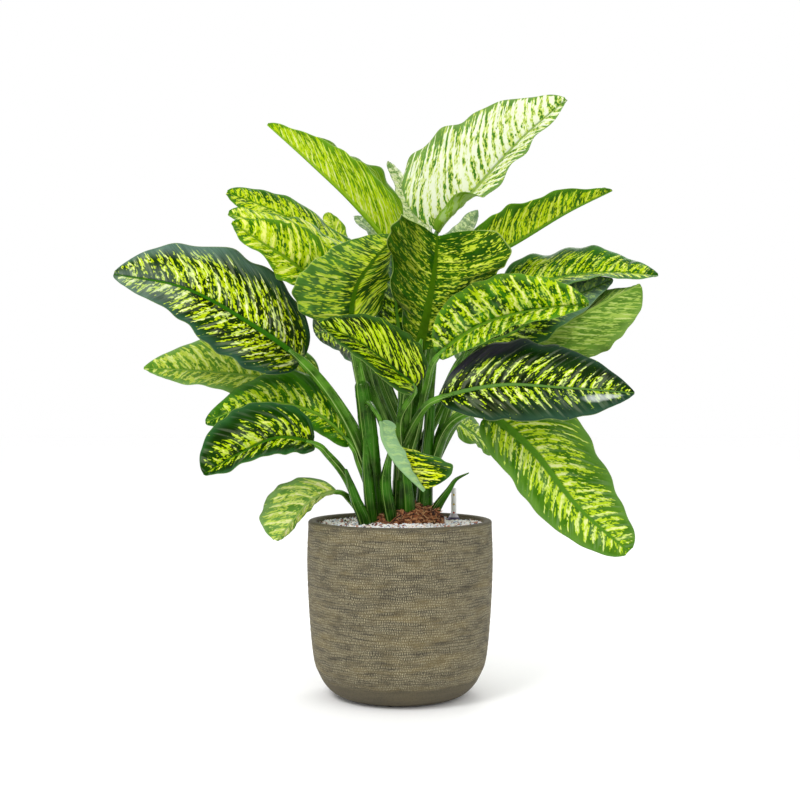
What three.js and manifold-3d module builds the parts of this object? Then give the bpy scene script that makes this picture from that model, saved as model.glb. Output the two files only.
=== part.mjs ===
// A potted dieffenbachia: a tapered planter filled with mineral granules, a root ball with five canes,
// thirty leaves on sheathed stalks, and a water gauge. Millimetres, +Z up, the pot's foot on z = 0.
import * as THREE from 'three';
import { mergeVertices } from 'three/addons/utils/BufferGeometryUtils.js';
import Module from 'manifold-3d';

const wasm = await Module();
wasm.setup();

const GAP = 0.35; // clearance between pieces that touch

const POT = {
  height: 300,
  wall: 14,
  floor: 16,
  rimRound: 4,
  segments: 36,
  wallSteps: 11,
  floorRadius: 104,
  innerHeights: [285, 225, 150, 90, 55, 32],
  // radius and height of the outer wall, from the foot to the rim
  wallPoints: [[86, 0], [108, 4], [126, 17], [140, 39], [149, 66], [156, 135], [160, 225], [158, 296]],
};

const GRANULES = { level: 285, crown: 12, relief: 1.6, rings: 5 };
const ROOT_BALL = {
  x: 6, y: 12, radius: 58, bottom: 110, shoulder: 294, top: 312,
  lift: 12, // how much higher the side at +x stands
  relief: 2.2,
  lumpScale: 2.1,
  segments: 24,
};

const GAUGE = {
  x: 96, y: 79, bottom: 60, top: 349,
  tubeRadius: 4.8, tubeWall: 1,
  floatRadius: 3, floatTop: 304,
  collarRadius: 12.5, collarNeck: 6.2, collarBottom: 286, collarShoulder: 293, collarTop: 303,
};

// Canes: points from the root ball upwards, and the radius at each point.
const CANES = {
  stem_left: {
    points: [[-40, 0, 262], [-43, -5, 325], [-49, -12, 400], [-56, -20, 470], [-66, -28, 540]],
    radii: [14, 16, 16, 16, 13],
  },
  stem_shoot: {
    points: [[-54, -26, 265], [-62, -32, 305], [-76, -40, 340], [-92, -47, 390]],
    radii: [10, 11, 8, 2.5],
  },
  stem_centre: {
    points: [[0, 0, 262], [2, -5, 330], [4, -10, 430], [8, -16, 520], [12, -24, 575]],
    radii: [15, 16, 13, 11, 8],
  },
  stem_right: {
    points: [[38, 12, 262], [42, 8, 330], [46, 2, 400], [50, -6, 450], [54, -14, 500]],
    radii: [13, 15, 12, 10, 7],
  },
  stem_back: {
    points: [[18, 56, 262], [20, 60, 340], [24, 62, 440], [32, 62, 540], [42, 62, 620]],
    radii: [13, 14, 12, 10, 7],
  },
};

// Old sheaths that clasp a cane, each a short tapered tube that is part of that cane.
const SHEATHS = [
  {
    cane: 'stem_centre',
    points: [[-6, -16, 268], [-18, -34, 322], [-24, -40, 372], [-14, -30, 430]],
    radii: [9, 11, 9, 3],
  },
  {
    cane: 'stem_centre',
    points: [[16, -12, 268], [16, -24, 325], [10, -28, 380], [0, -22, 425]],
    radii: [8, 10, 8, 3],
  },
  {
    cane: 'stem_right',
    points: [[44, 8, 270], [62, -4, 318], [84, -12, 352], [96, -18, 370], [118, -24, 382]],
    radii: [9, 10, 7, 4, 1],
  },
  {
    cane: 'stem_left',
    points: [[-42, -12, 268], [-50, -22, 325], [-56, -28, 390], [-60, -28, 450]],
    radii: [8, 10, 9, 3],
  },
];

// Leaves. path: points along the stalk, which starts inside its cane, and on along the midrib to the tip.
// stalk: how many spans of the path are stalk. left, right: the reach of each half of the blade from the
// midrib, x, y, z, and its curl in degrees, near the base and near the tip. shape: how fast the outline
// rises at the base and falls at the tip. wave: height, count and start of the waves along the edge.
const LEAVES = [
  {
    name: 'leaf_01', stalk: 3, girth: [11, 7.5],
    path: [
      [-44, -7, 345], [-69, -10, 420], [-105, -35, 496], [-164, -60, 571],
      [-255, -90, 637], [-353, -118, 689], [-465, -135, 710],
    ],
    left: [[36, 35, 82, 30], [42, 30, 91, 30]], right: [[-33, -35, -65, 25], [-16, -40, -49, 25]],
    shape: [0.42, 0.6], wave: [4, 2.5, 0.2],
  },
  {
    name: 'leaf_02', stalk: 2,
    path: [
      [-46, -6, 372], [-83, 39, 463], [-142, 29, 534],
      [-241, 19, 546], [-343, 9, 556], [-443, -1, 561],
    ],
    left: [[3, 45, 75, 30], [3, 45, 75, 30]], right: [[7, -45, -36, 20], [7, -50, -34, 20]],
    shape: [0.5, 0.8], wave: [3, 2, 0.1],
  },
  {
    name: 'leaf_03', stalk: 2,
    path: [
      [-44, -7, 330], [-69, -15, 395], [-85, -20, 431],
      [-144, -40, 484], [-232, -60, 501], [-326, -70, 469],
    ],
    left: [[10, 44, 60, 35], [7, 44, 54, 35]], right: [[-5, -36, -26, 20], [-7, -32, -40, 20]],
    shape: [0.42, 0.6], wave: [2, 2, 0.6],
  },
  {
    name: 'leaf_04', stalk: 3, girth: [11, 7],
    path: [
      [-46, -8, 340], [-51, -15, 455], [-73, -35, 565], [-82, -55, 632],
      [-73, -80, 692], [-46, -100, 732], [-7, -110, 775],
    ],
    left: [[63, 40, 7, 30], [26, 50, -10, 30]], right: [[-112, -20, 7, 30], [-66, -10, 20, 30]],
    shape: [0.4, 0.62], wave: [3, 2, 0.3],
  },
  {
    name: 'leaf_05', stalk: 3,
    path: [
      [3, -8, 385], [-55, -6, 532], [-94, -21, 634], [-143, -41, 703],
      [-185, -66, 739], [-229, -91, 766], [-276, -111, 797],
    ],
    left: [[50, 12, 53, 40], [23, 14, 40, 40]], right: [[-20, -40, -30, 20], [-7, -45, -20, 20]],
    shape: [0.45, 0.65], wave: [6, 2, 0.0],
  },
  {
    name: 'leaf_06', stalk: 2,
    path: [
      [3, -6, 410], [-49, 30, 541], [-83, 10, 734],
      [-150, -10, 774], [-220, -32, 800], [-290, -52, 821],
    ],
    left: [[20, 45, 27, 30], [14, 45, 30, 30]], right: [[-17, -45, -27, 30], [-7, -45, -24, 30]],
    shape: [0.45, 0.5], wave: [5, 2, 0.4],
  },
  {
    name: 'leaf_07', stalk: 2,
    path: [
      [22, 60, 405], [-46, 66, 577], [-74, 61, 738],
      [-145, 46, 798], [-226, 31, 839], [-302, 16, 867],
    ],
    left: [[10, 45, 28, 30], [14, 35, 38, 30]], right: [[-17, -40, -28, 30], [-7, -40, -28, 30]],
    shape: [0.45, 0.5], wave: [5, 2, 0.1],
  },
  {
    name: 'leaf_08', stalk: 2, girth: [5, 3.5],
    path: [
      [23, 62, 430], [-45, 119, 596], [-86, 124, 722],
      [-101, 129, 766], [-117, 134, 810], [-134, 137, 850],
    ],
    left: [[16, -40, 4, 30], [11, -40, 0, 30]], right: [[-43, 20, 4, 30], [-40, 20, 11, 30]],
    shape: [0.5, 0.6], wave: [2, 2, 0.1],
  },
  {
    name: 'leaf_09', stalk: 3,
    path: [
      [-67, -35, 318], [-92, -30, 373], [-121, -55, 413], [-143, -75, 433],
      [-200, -110, 444], [-258, -140, 420], [-316, -155, 387],
    ],
    left: [[-3, 4, 61, 35], [-39, 4, 68, 30]], right: [[5, -55, -26, 20], [8, -50, -19, 20]],
    shape: [0.42, 0.55], wave: [2, 2, 0.1],
  },
  {
    name: 'leaf_10', stalk: 2, girth: [6, 4],
    path: [
      [-62, -31, 306], [-86, -10, 334], [-105, -40, 350],
      [-147, -70, 339], [-177, -90, 306], [-203, -95, 273],
    ],
    left: [[-36, -10, 30, 30], [-66, -10, 3, 30]], right: [[7, 45, -7, 30], [10, 35, -5, 30]],
    shape: [0.5, 0.55], wave: [2, 2, 0.5],
  },
  {
    name: 'leaf_11', stalk: 3,
    path: [
      [3, -8, 384], [3, 20, 541], [3, 10, 697], [-21, 0, 773],
      [-79, -20, 841], [-151, -40, 907], [-224, -55, 970],
    ],
    left: [[61, 60, 64, 30], [34, 50, 37, 30]], right: [[44, -25, 51, 30], [24, -20, 37, 30]],
    shape: [0.45, 0.65], wave: [4, 3, 0.2],
  },
  {
    name: 'leaf_12', stalk: 2, girth: [9, 6.5],
    path: [
      [3, -16, 369], [12, -26, 506], [32, -51, 590],
      [45, -96, 652], [55, -156, 712], [58, -221, 761],
    ],
    left: [[93, 14, 20, 20], [138, 10, 44, 25]], right: [[-48, 10, 29, 30], [-84, 10, 90, 20]],
    shape: [0.45, 0.42], wave: [6, 3, 0.2],
  },
  {
    name: 'leaf_13', stalk: 2,
    path: [
      [3, -9, 400], [0, -66, 476], [24, -124, 524],
      [-3, -150, 551], [-64, -175, 598], [-126, -190, 626],
    ],
    left: [[38, 25, 54, 35], [22, 25, 44, 35]], right: [[-13, -40, -24, 20], [-10, -40, -21, 20]],
    shape: [0.42, 0.6], wave: [2, 2, 0.3],
  },
  {
    name: 'leaf_14', stalk: 3, girth: [4.5, 3],
    path: [
      [-59, -23, 494], [-53, -60, 502], [-43, -95, 490], [-31, -118, 470],
      [-26, -148, 440], [-3, -170, 401], [38, -178, 360],
    ],
    left: [[16, -20, 5, 60], [13, -14, 5, 60]], right: [[96, 5, 18, 40], [76, 0, 16, 30]],
    shape: [0.5, 0.5], wave: [2, 2, 0.1],
  },
  {
    name: 'leaf_15', stalk: 2,
    path: [
      [3, -8, 402], [3, 3, 506], [0, -12, 600],
      [-5, -22, 651], [-10, -32, 701], [-14, -37, 756],
    ],
    left: [[37, 10, 3, 30], [34, 10, 3, 30]], right: [[-41, 10, 3, 30], [-37, 10, 3, 30]],
    shape: [0.5, 0.7], wave: [2, 2, 0.1],
  },
  {
    name: 'leaf_16', stalk: 2,
    path: [
      [23, 62, 416], [7, 100, 614], [-15, 120, 757],
      [-37, 140, 798], [-61, 165, 827], [-86, 190, 851],
    ],
    left: [[17, 38, 34, 30], [15, 36, 26, 30]], right: [[-7, -42, -14, 30], [-6, -34, -10, 30]],
    shape: [0.5, 0.7], wave: [3, 2, 0.1],
  },
  {
    name: 'leaf_17', stalk: 3,
    path: [
      [4, -8, 372], [29, -25, 455], [46, -56, 531], [63, -90, 579],
      [132, -116, 628], [219, -138, 652], [305, -150, 660],
    ],
    left: [[13, -50, -23, 20], [6, -50, -23, 20]], right: [[-16, -22, 71, 20], [-3, -24, 65, 30]],
    shape: [0.42, 0.65], wave: [3, 2, 0.2],
  },
  {
    name: 'leaf_18', stalk: 2,
    path: [
      [4, -10, 421], [33, -70, 481], [65, -115, 509],
      [161, -150, 530], [266, -180, 525], [369, -200, 517],
    ],
    left: [[6, -35, -63, 30], [6, -35, -54, 30]], right: [[6, 40, 73, 35], [13, 40, 73, 30]],
    shape: [0.42, 0.7], wave: [3, 2.5, 0.3],
  },
  {
    name: 'leaf_19', stalk: 3, girth: [9, 7],
    path: [
      [55, 0, 385], [77, -25, 451], [106, -50, 481], [145, -75, 483],
      [217, -100, 424], [291, -112, 331], [375, -112, 257],
    ],
    left: [[-49, -15, -29, 30], [-39, -15, -26, 30]], right: [[85, 25, 46, 30], [56, 20, 26, 30]],
    shape: [0.42, 0.6], wave: [5, 3, 0.3],
  },
  {
    name: 'leaf_20', stalk: 3,
    path: [
      [45, 4, 384], [55, 10, 541], [72, 0, 678], [117, -5, 737],
      [192, -15, 772], [283, -25, 825], [362, -30, 863],
    ],
    left: [[-27, -35, 58, 30], [-15, -30, 38, 30]], right: [[-14, 50, 38, 30], [-10, 50, 24, 30]],
    shape: [0.42, 0.7], wave: [4, 2, 0.5],
  },
  {
    name: 'leaf_21', stalk: 3,
    path: [
      [21, 61, 384], [97, 58, 541], [137, 48, 638], [174, 33, 687],
      [259, 13, 715], [352, -12, 725], [441, -27, 718],
    ],
    left: [[3, -65, -7, 20], [3, -60, -7, 20]], right: [[-3, 60, 41, 35], [0, 60, 36, 35]],
    shape: [0.4, 0.6], wave: [4, 2, 0.0],
  },
  {
    name: 'leaf_22', stalk: 3,
    path: [
      [44, 5, 367], [87, 10, 454], [155, 0, 558], [223, -15, 605],
      [282, -35, 637], [343, -55, 669], [403, -65, 700],
    ],
    left: [[-20, 50, 30, 30], [-10, 50, 13, 30]], right: [[34, -30, -57, 30], [17, -25, -44, 30]],
    shape: [0.45, 0.6], wave: [5, 2, 0.4],
  },
  {
    name: 'leaf_23', stalk: 2,
    path: [
      [45, 4, 375], [79, 24, 471], [122, 14, 586],
      [194, -1, 622], [275, -16, 671], [363, -31, 712],
    ],
    left: [[10, -45, -45, 30], [10, -45, -34, 30]], right: [[-21, 45, 38, 30], [-17, 45, 34, 30]],
    shape: [0.45, 0.65], wave: [3, 2, 0.4],
  },
  {
    name: 'leaf_24', stalk: 3,
    path: [
      [21, 60, 382], [35, 55, 541], [53, 45, 717], [65, 40, 801],
      [137, 45, 881], [213, 45, 964], [292, 30, 1032],
    ],
    left: [[28, -60, -21, 30], [16, -60, -21, 30]], right: [[-95, 10, 60, 30], [-53, 10, 60, 30]],
    shape: [0.42, 0.62], wave: [6, 3, 0.2],
  },
  {
    name: 'leaf_25', stalk: 2,
    path: [
      [22, 61, 399], [33, 110, 578], [44, 140, 763],
      [26, 160, 848], [4, 185, 912], [-23, 205, 957],
    ],
    left: [[36, 46, -4, 30], [32, 44, -4, 30]], right: [[-36, 44, 14, 30], [-30, 44, 12, 30]],
    shape: [0.45, 0.6], wave: [4, 2, 0.2],
  },
  {
    name: 'leaf_26', stalk: 2,
    path: [
      [27, 70, 364], [54, 100, 452], [88, 140, 473],
      [122, 190, 454], [158, 230, 428], [192, 250, 400],
    ],
    left: [[-12, -56, -18, 30], [-8, -50, -14, 30]], right: [[12, 66, 30, 30], [8, 66, 24, 30]],
    shape: [0.45, 0.6], wave: [4, 2, 0.2],
  },
  {
    name: 'leaf_27', stalk: 2,
    path: [
      [21, 63, 380], [-15, 140, 488], [-47, 192, 562],
      [-92, 250, 614], [-134, 312, 640], [-172, 372, 640],
    ],
    left: [[-30, -18, 70, 30], [-28, -18, 66, 30]], right: [[28, 26, -62, 30], [24, 24, -54, 30]],
    shape: [0.45, 0.6], wave: [4, 2, 0.2],
  },
  {
    name: 'leaf_28', stalk: 2,
    path: [
      [22, 62, 391], [73, 130, 506], [108, 182, 577],
      [146, 240, 622], [190, 304, 650], [230, 366, 652],
    ],
    left: [[32, 24, -60, 30], [26, 22, -54, 30]], right: [[-36, -16, 66, 30], [-28, -16, 62, 30]],
    shape: [0.45, 0.6], wave: [4, 2, 0.2],
  },
  {
    name: 'leaf_29', stalk: 2,
    path: [
      [23, 62, 416], [33, 150, 543], [38, 206, 657],
      [40, 264, 732], [42, 322, 784], [46, 384, 812],
    ],
    left: [[76, 10, 16, 30], [66, 10, 16, 30]], right: [[-76, 10, 16, 30], [-66, 10, 16, 30]],
    shape: [0.45, 0.6], wave: [4, 2, 0.2],
  },
  {
    name: 'leaf_30', stalk: 2,
    path: [
      [22, 61, 381], [45, 110, 542], [74, 150, 709],
      [97, 180, 777], [123, 210, 827], [149, 240, 870],
    ],
    left: [[28, 48, -10, 30], [24, 44, -8, 30]], right: [[-36, 48, 18, 30], [-30, 46, 14, 30]],
    shape: [0.45, 0.6], wave: [4, 2, 0.2],
  },
];

const LEAF = {
  rows: 9, // stations from base to tip
  columns: [1, 0.58, 0], // share of each half's width, from the edge to the midrib
  thickness: 1.3,
  ribDepth: 2.2, // how far the midrib stands out below
  square: 0.6, // how far each half is turned square to the midrib
  stalkSides: 6,
  stalkSteps: 5,
  girth: [7.5, 5], // radius of a stalk at its cane and at its blade
};

const COLOURS = {
  pot: 0x827a60, granules: 0xd8d0c8, roots: 0x8a5a3c, tube: 0xdfe6e6, collar: 0x6a5a78, float: 0xc8402a,
  cane: 0x3f6a2a, leaf: 0x3c7a24,
};

// --- solids ---------------------------------------------------------------------------------------------

function toSolid(geometry) {
  const bare = geometry.clone();
  bare.deleteAttribute('normal');
  bare.deleteAttribute('uv');
  const merged = mergeVertices(bare, 1e-4);
  return new wasm.Manifold(new wasm.Mesh({
    numProp: 3,
    vertProperties: new Float32Array(merged.attributes.position.array),
    triVerts: new Uint32Array(merged.index.array),
  }));
}

function toGeometry(solid) {
  const mesh = solid.getMesh();
  const geometry = new THREE.BufferGeometry();
  geometry.setAttribute('position', new THREE.BufferAttribute(new Float32Array(mesh.vertProperties), 3));
  geometry.setIndex(new THREE.BufferAttribute(new Uint32Array(mesh.triVerts), 1));
  geometry.computeVertexNormals();
  return geometry;
}

// Of the bodies that a cut leaves, the one with the most volume.
function largestBody(solid) {
  return solid.decompose().reduce((best, body) => (body.volume() > best.volume() ? body : best));
}

function boxesMeet(a, b) {
  const first = a.boundingBox();
  const second = b.boundingBox();
  const axes = [0, 1, 2];
  return axes.every((axis) => first.min[axis] < second.max[axis] && second.min[axis] < first.max[axis]);
}

// A solid cut back from its neighbours, without the scraps that a cut leaves.
function cutClear(solid, neighbours) {
  const near = neighbours.filter((other) => boxesMeet(solid, other));
  return largestBody(near.reduce((rest, other) => rest.subtract(other), solid));
}

const asVectors = (points) => points.map((point) => new THREE.Vector3(...point));
const smoothCurve = (points) => new THREE.CatmullRomCurve3(points, false, 'catmullrom', 0.5);

// A closed tube along a curve, whose radius is a function of the way along it.
function tubeAlong(curve, radiusAt, steps, sides) {
  const frames = curve.computeFrenetFrames(steps, false);
  const positions = [];
  const indices = [];
  for (let step = 0; step <= steps; step += 1) {
    const centre = curve.getPointAt(step / steps);
    const radius = radiusAt(step / steps);
    for (let side = 0; side < sides; side += 1) {
      const angle = (2 * Math.PI * side) / sides;
      const rim = centre.clone()
        .addScaledVector(frames.normals[step], radius * Math.cos(angle))
        .addScaledVector(frames.binormals[step], radius * Math.sin(angle));
      positions.push(rim.x, rim.y, rim.z);
    }
  }
  for (let step = 0; step < steps; step += 1) {
    for (let side = 0; side < sides; side += 1) {
      const next = (side + 1) % sides;
      const a = step * sides + side;
      const b = step * sides + next;
      indices.push(a, b, b + sides, a, b + sides, a + sides);
    }
  }
  const last = steps * sides;
  for (let side = 1; side < sides - 1; side += 1) {
    indices.push(0, side + 1, side);
    indices.push(last, last + side, last + side + 1);
  }
  const geometry = new THREE.BufferGeometry();
  geometry.setAttribute('position', new THREE.Float32BufferAttribute(positions, 3));
  geometry.setIndex(indices);
  return geometry;
}

// A radius list read as a smooth function of the way along.
function radiusFrom(radii, grow) {
  return (t) => {
    const place = t * (radii.length - 1);
    const index = Math.min(Math.floor(place), radii.length - 2);
    const share = place - index;
    const eased = share * share * (3 - 2 * share);
    return radii[index] + (radii[index + 1] - radii[index]) * eased + grow;
  };
}

function latheFrom(profile, segments) {
  const lathe = new THREE.LatheGeometry(profile.map(([radius, z]) => new THREE.Vector2(radius, z)), segments);
  return lathe.rotateX(Math.PI / 2);
}

// --- pot, fill and gauge --------------------------------------------------------------------------------

const wallCurve = new THREE.SplineCurve(POT.wallPoints.map(([radius, z]) => new THREE.Vector2(radius, z)));

function wallRadiusAt(z) {
  const points = wallCurve.getPoints(60);
  const above = Math.max(points.findIndex((point) => point.y >= z), 1);
  const low = points[above - 1];
  const high = points[above];
  return low.x + ((high.x - low.x) * (z - low.y)) / (high.y - low.y);
}

const innerRadiusAt = (z) => wallRadiusAt(z) - POT.wall;

function potSolid() {
  const outer = wallCurve.getPoints(POT.wallSteps).map((point) => [point.x, point.y]);
  const rimInner = innerRadiusAt(POT.height - POT.rimRound);
  const rim = [
    [POT.wallPoints.at(-1)[0] - POT.rimRound, POT.height],
    [rimInner + POT.rimRound, POT.height],
    [rimInner, POT.height - POT.rimRound],
  ];
  const inside = POT.innerHeights.map((z) => [innerRadiusAt(z), z]);
  const floor = [[POT.floorRadius, POT.floor], [0, POT.floor]];
  const profile = [[0, 0], ...outer, ...rim, ...inside, ...floor];
  return toSolid(latheFrom(profile, POT.segments));
}

// Small uneven relief, the same on every run.
function lumps(x, y) {
  return Math.sin(x * 0.31 + 1.3) * Math.cos(y * 0.27) + 0.6 * Math.sin(x * 0.13 - y * 0.41 + 0.7);
}

// Height of the granules, a little higher round the roots than at the wall.
function granuleHeight(x, y) {
  const radius = Math.hypot(x, y) / innerRadiusAt(GRANULES.level);
  return GRANULES.level + GRANULES.crown * (1 - radius * radius) + GRANULES.relief * lumps(x, y) * 0.5;
}

function granulesBlank() {
  const rings = Array.from({ length: GRANULES.rings }, (_, ring) => ring / GRANULES.rings);
  const edge = innerRadiusAt(GRANULES.level) - GAP;
  const side = POT.innerHeights.slice(1).map((z) => [innerRadiusAt(z) - GAP, z]).reverse();
  const top = rings.reverse().map((share) => [edge * share, GRANULES.level]);
  const foot = [POT.floorRadius - GAP, POT.floor + GAP];
  const profile = [[0, foot[1]], foot, ...side, [edge, GRANULES.level], ...top];
  const lathe = latheFrom(profile, POT.segments);
  const position = lathe.attributes.position;
  for (let index = 0; index < position.count; index += 1) {
    const x = position.getX(index);
    const y = position.getY(index);
    if (position.getZ(index) === GRANULES.level) position.setZ(index, granuleHeight(x, y));
  }
  return toSolid(lathe);
}

// The mound of coir that the canes grow from, with its sides sunk in the granules.
function rootBallBlank(grow) {
  const { radius, bottom, shoulder, top } = ROOT_BALL;
  const half = radius + grow;
  const profile = [
    [0, bottom - grow], [half * 0.8, bottom - grow], [half * 0.94, bottom + 60],
    [half, shoulder - 30], [half, shoulder + grow], [half * 0.86, top - 6 + grow],
    [half * 0.55, top + grow], [half * 0.25, top + 1 + grow], [0, top + 1 + grow],
  ];
  const lathe = latheFrom(profile, ROOT_BALL.segments);
  const position = lathe.attributes.position;
  for (let index = 0; index < position.count; index += 1) {
    const x = position.getX(index);
    const y = position.getY(index);
    const z = position.getZ(index);
    const raised = Math.max(0, (z - shoulder) / (top - shoulder));
    const side = 0.5 + 0.5 * Math.tanh(x / 14);
    const scale = (ROOT_BALL.lumpScale * radius) / half;
    const lump = z > shoulder - 20 ? ROOT_BALL.relief * lumps(x * scale, y * scale) : 0;
    const rise = raised * (ROOT_BALL.lift * side + lump);
    position.setXYZ(index, x + ROOT_BALL.x + lump, y + ROOT_BALL.y, z + rise);
  }
  return toSolid(lathe);
}

function gaugePiece(profile, segments) {
  return toSolid(latheFrom(profile, segments).translate(GAUGE.x, GAUGE.y, 0));
}

// A plain round hole in the granules, from a height upwards.
function gaugeBore(radius, from, segments) {
  const wide = radius + GAP;
  const above = POT.height + 20;
  return gaugePiece([[0, from - GAP], [wide, from - GAP], [wide, above], [0, above]], segments);
}

function gaugeTube() {
  const outer = GAUGE.tubeRadius;
  const inner = outer - GAUGE.tubeWall;
  return gaugePiece([
    [inner, GAUGE.bottom], [outer, GAUGE.bottom], [outer, GAUGE.top - 2], [outer - 1.4, GAUGE.top - 0.4],
    [0, GAUGE.top], [0, GAUGE.top - 2], [inner, GAUGE.top - 3], [inner, GAUGE.bottom],
  ], 16);
}

function gaugeFloat() {
  const foot = GAUGE.bottom + GAP;
  const { floatRadius, floatTop } = GAUGE;
  return gaugePiece([[0, foot], [floatRadius, foot], [floatRadius, floatTop], [0, floatTop]], 10);
}

function gaugeCollar() {
  const bore = GAUGE.tubeRadius + GAP;
  const { collarRadius, collarNeck, collarBottom, collarShoulder, collarTop } = GAUGE;
  return gaugePiece([
    [bore, collarBottom], [collarRadius, collarBottom], [collarRadius, collarShoulder - 1],
    [collarRadius - 1, collarShoulder], [collarNeck, collarTop - 1], [collarNeck, collarTop],
    [bore, collarTop], [bore, collarBottom],
  ], 18);
}

// --- canes ----------------------------------------------------------------------------------------------

function caneSolid(name, grow) {
  const { points, radii } = CANES[name];
  const curve = smoothCurve(asVectors(points));
  const sheaths = SHEATHS.filter((sheath) => sheath.cane === name).map((sheath) => {
    const line = smoothCurve(asVectors(sheath.points));
    return toSolid(tubeAlong(line, radiusFrom(sheath.radii, grow), 6, 8));
  });
  const cane = toSolid(tubeAlong(curve, radiusFrom(radii, grow), 8, 10));
  return sheaths.reduce((joined, sheath) => joined.add(sheath), cane);
}

// --- leaves ---------------------------------------------------------------------------------------------

function leafCurves(leaf) {
  const curve = smoothCurve(asVectors(leaf.path));
  const spans = leaf.path.length - 1;
  const split = leaf.stalk / spans;
  const pick = (from, to, count) => Array.from(
    { length: count + 1 },
    (_, index) => curve.getPoint(from + ((to - from) * index) / count),
  );
  const intoBlade = curve.getPoint(split + (1 - split) * 0.09);
  return {
    rib: smoothCurve(pick(split, 1, 24)),
    stalk: smoothCurve([...pick(0, split, 10), intoBlade]),
  };
}

// Share of the full half width at a share of the blade's length.
function outlineAt(u, [rise, fall]) {
  const widest = rise / (rise + fall);
  return (u / widest) ** rise * ((1 - u) / (1 - widest)) ** fall;
}

// A half's reach and curl between the values near the base and near the tip.
function reachAt([base, tip], u) {
  const share = THREE.MathUtils.clamp((u - 0.12) / 0.76, 0, 1);
  return base.map((value, index) => value + (tip[index] - value) * share);
}

// Points of one half across the blade, from the midrib outwards, bent into an arc.
function halfStation(leaf, centre, along, u, side) {
  const [x, y, z, curl] = reachAt(side < 0 ? leaf.left : leaf.right, u);
  const reach = new THREE.Vector3(x, y, z);
  reach.addScaledVector(along, -reach.dot(along) * LEAF.square);
  const share = outlineAt(u, leaf.shape);
  const width = reach.length() * share;
  const outward = reach.normalize();
  const up = new THREE.Vector3().crossVectors(along, outward).multiplyScalar(side).normalize();
  const bend = THREE.MathUtils.degToRad(curl);
  const [amplitude, count, phase] = leaf.wave;
  const turn = 2 * Math.PI * (count * u + phase * (side > 0 ? 1 : 0.7));
  const ripple = amplitude * Math.sin(turn) * Math.min(1, share * 1.5);
  return LEAF.columns.map((v) => {
    const flat = (Math.sin((v - 0.5) * bend) + Math.sin(0.5 * bend)) / bend;
    const drop = (Math.cos(0.5 * bend) - Math.cos((v - 0.5) * bend)) / bend;
    return centre.clone()
      .addScaledVector(outward, flat * width)
      .addScaledVector(up, ripple * v * v - drop * width);
  });
}

function bladeGrid(leaf, rib) {
  const grid = [];
  for (let row = 0; row <= LEAF.rows; row += 1) {
    const spread = 0.5 - 0.5 * Math.cos((Math.PI * row) / LEAF.rows);
    const u = THREE.MathUtils.clamp(spread, 0.004, 0.996);
    const centre = rib.getPointAt(u);
    const behind = rib.getPointAt(Math.max(u - 0.02, 0));
    const along = rib.getPointAt(Math.min(u + 0.02, 1)).sub(behind).normalize();
    const left = halfStation(leaf, centre, along, u, -1);
    const right = halfStation(leaf, centre, along, u, 1);
    grid.push([...left, ...right.reverse().slice(1)]);
  }
  return grid;
}

function gridNormal(grid, row, column) {
  const normal = new THREE.Vector3();
  const at = (r, c) => grid[r]?.[c];
  const here = grid[row][column];
  const ring = [at(row, column + 1), at(row + 1, column), at(row, column - 1), at(row - 1, column)];
  for (let index = 0; index < 4; index += 1) {
    const first = ring[index];
    const second = ring[(index + 1) % 4];
    if (first && second) normal.add(first.clone().sub(here).cross(second.clone().sub(here)).normalize());
  }
  return normal.normalize();
}

// A blade as a closed shell: the face below, where the midrib stands out, the face above, and their rim.
function bladeGeometry(leaf, rib) {
  const grid = bladeGrid(leaf, rib);
  const width = grid[0].length;
  const middle = (width - 1) / 2;
  const below = [];
  const above = [];
  grid.forEach((line, row) => line.forEach((point, column) => {
    const normal = gridNormal(grid, row, column);
    const ridge = column === middle ? LEAF.ribDepth * (1 - row / LEAF.rows) : 0;
    const under = point.clone().addScaledVector(normal, LEAF.thickness / 2 + ridge);
    const over = point.clone().addScaledVector(normal, -LEAF.thickness / 2);
    below.push(under.x, under.y, under.z);
    above.push(over.x, over.y, over.z);
  }));
  const count = below.length / 3;
  const indices = [];
  for (let row = 0; row < LEAF.rows; row += 1) {
    for (let column = 0; column < width - 1; column += 1) {
      const a = row * width + column;
      const c = a + width;
      indices.push(a, a + 1, c + 1, a, c + 1, c);
      indices.push(count + a, count + c + 1, count + a + 1, count + a, count + c, count + c + 1);
    }
  }
  const rim = [];
  for (let column = 0; column < width; column += 1) rim.push(column);
  for (let row = 1; row <= LEAF.rows; row += 1) rim.push(row * width + width - 1);
  for (let column = width - 2; column >= 0; column -= 1) rim.push(LEAF.rows * width + column);
  for (let row = LEAF.rows - 1; row > 0; row -= 1) rim.push(row * width);
  rim.forEach((a, index) => {
    const b = rim[(index + 1) % rim.length];
    indices.push(a, count + a, b, b, count + a, count + b);
  });
  const geometry = new THREE.BufferGeometry();
  geometry.setAttribute('position', new THREE.Float32BufferAttribute([...below, ...above], 3));
  geometry.setIndex(indices);
  return geometry;
}

function stalkSolid(leaf, grow) {
  const { stalk } = leafCurves(leaf);
  const [base, top] = leaf.girth ?? LEAF.girth;
  const radiusAt = (t) => base + (top - base) * t - (t > 0.9 ? (t - 0.9) * 10 * top * 0.6 : 0) + grow;
  return toSolid(tubeAlong(stalk, radiusAt, LEAF.stalkSteps, LEAF.stalkSides));
}

function leafSolid(leaf) {
  const { rib } = leafCurves(leaf);
  return toSolid(bladeGeometry(leaf, rib)).add(stalkSolid(leaf, 0));
}

// --- assembly -------------------------------------------------------------------------------------------

const model = new THREE.Group();

function addMesh(name, solid, colour, roughness) {
  const material = new THREE.MeshStandardMaterial({ color: colour, roughness, metalness: 0 });
  const mesh = new THREE.Mesh(toGeometry(solid), material);
  mesh.name = name;
  model.add(mesh);
}

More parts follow.
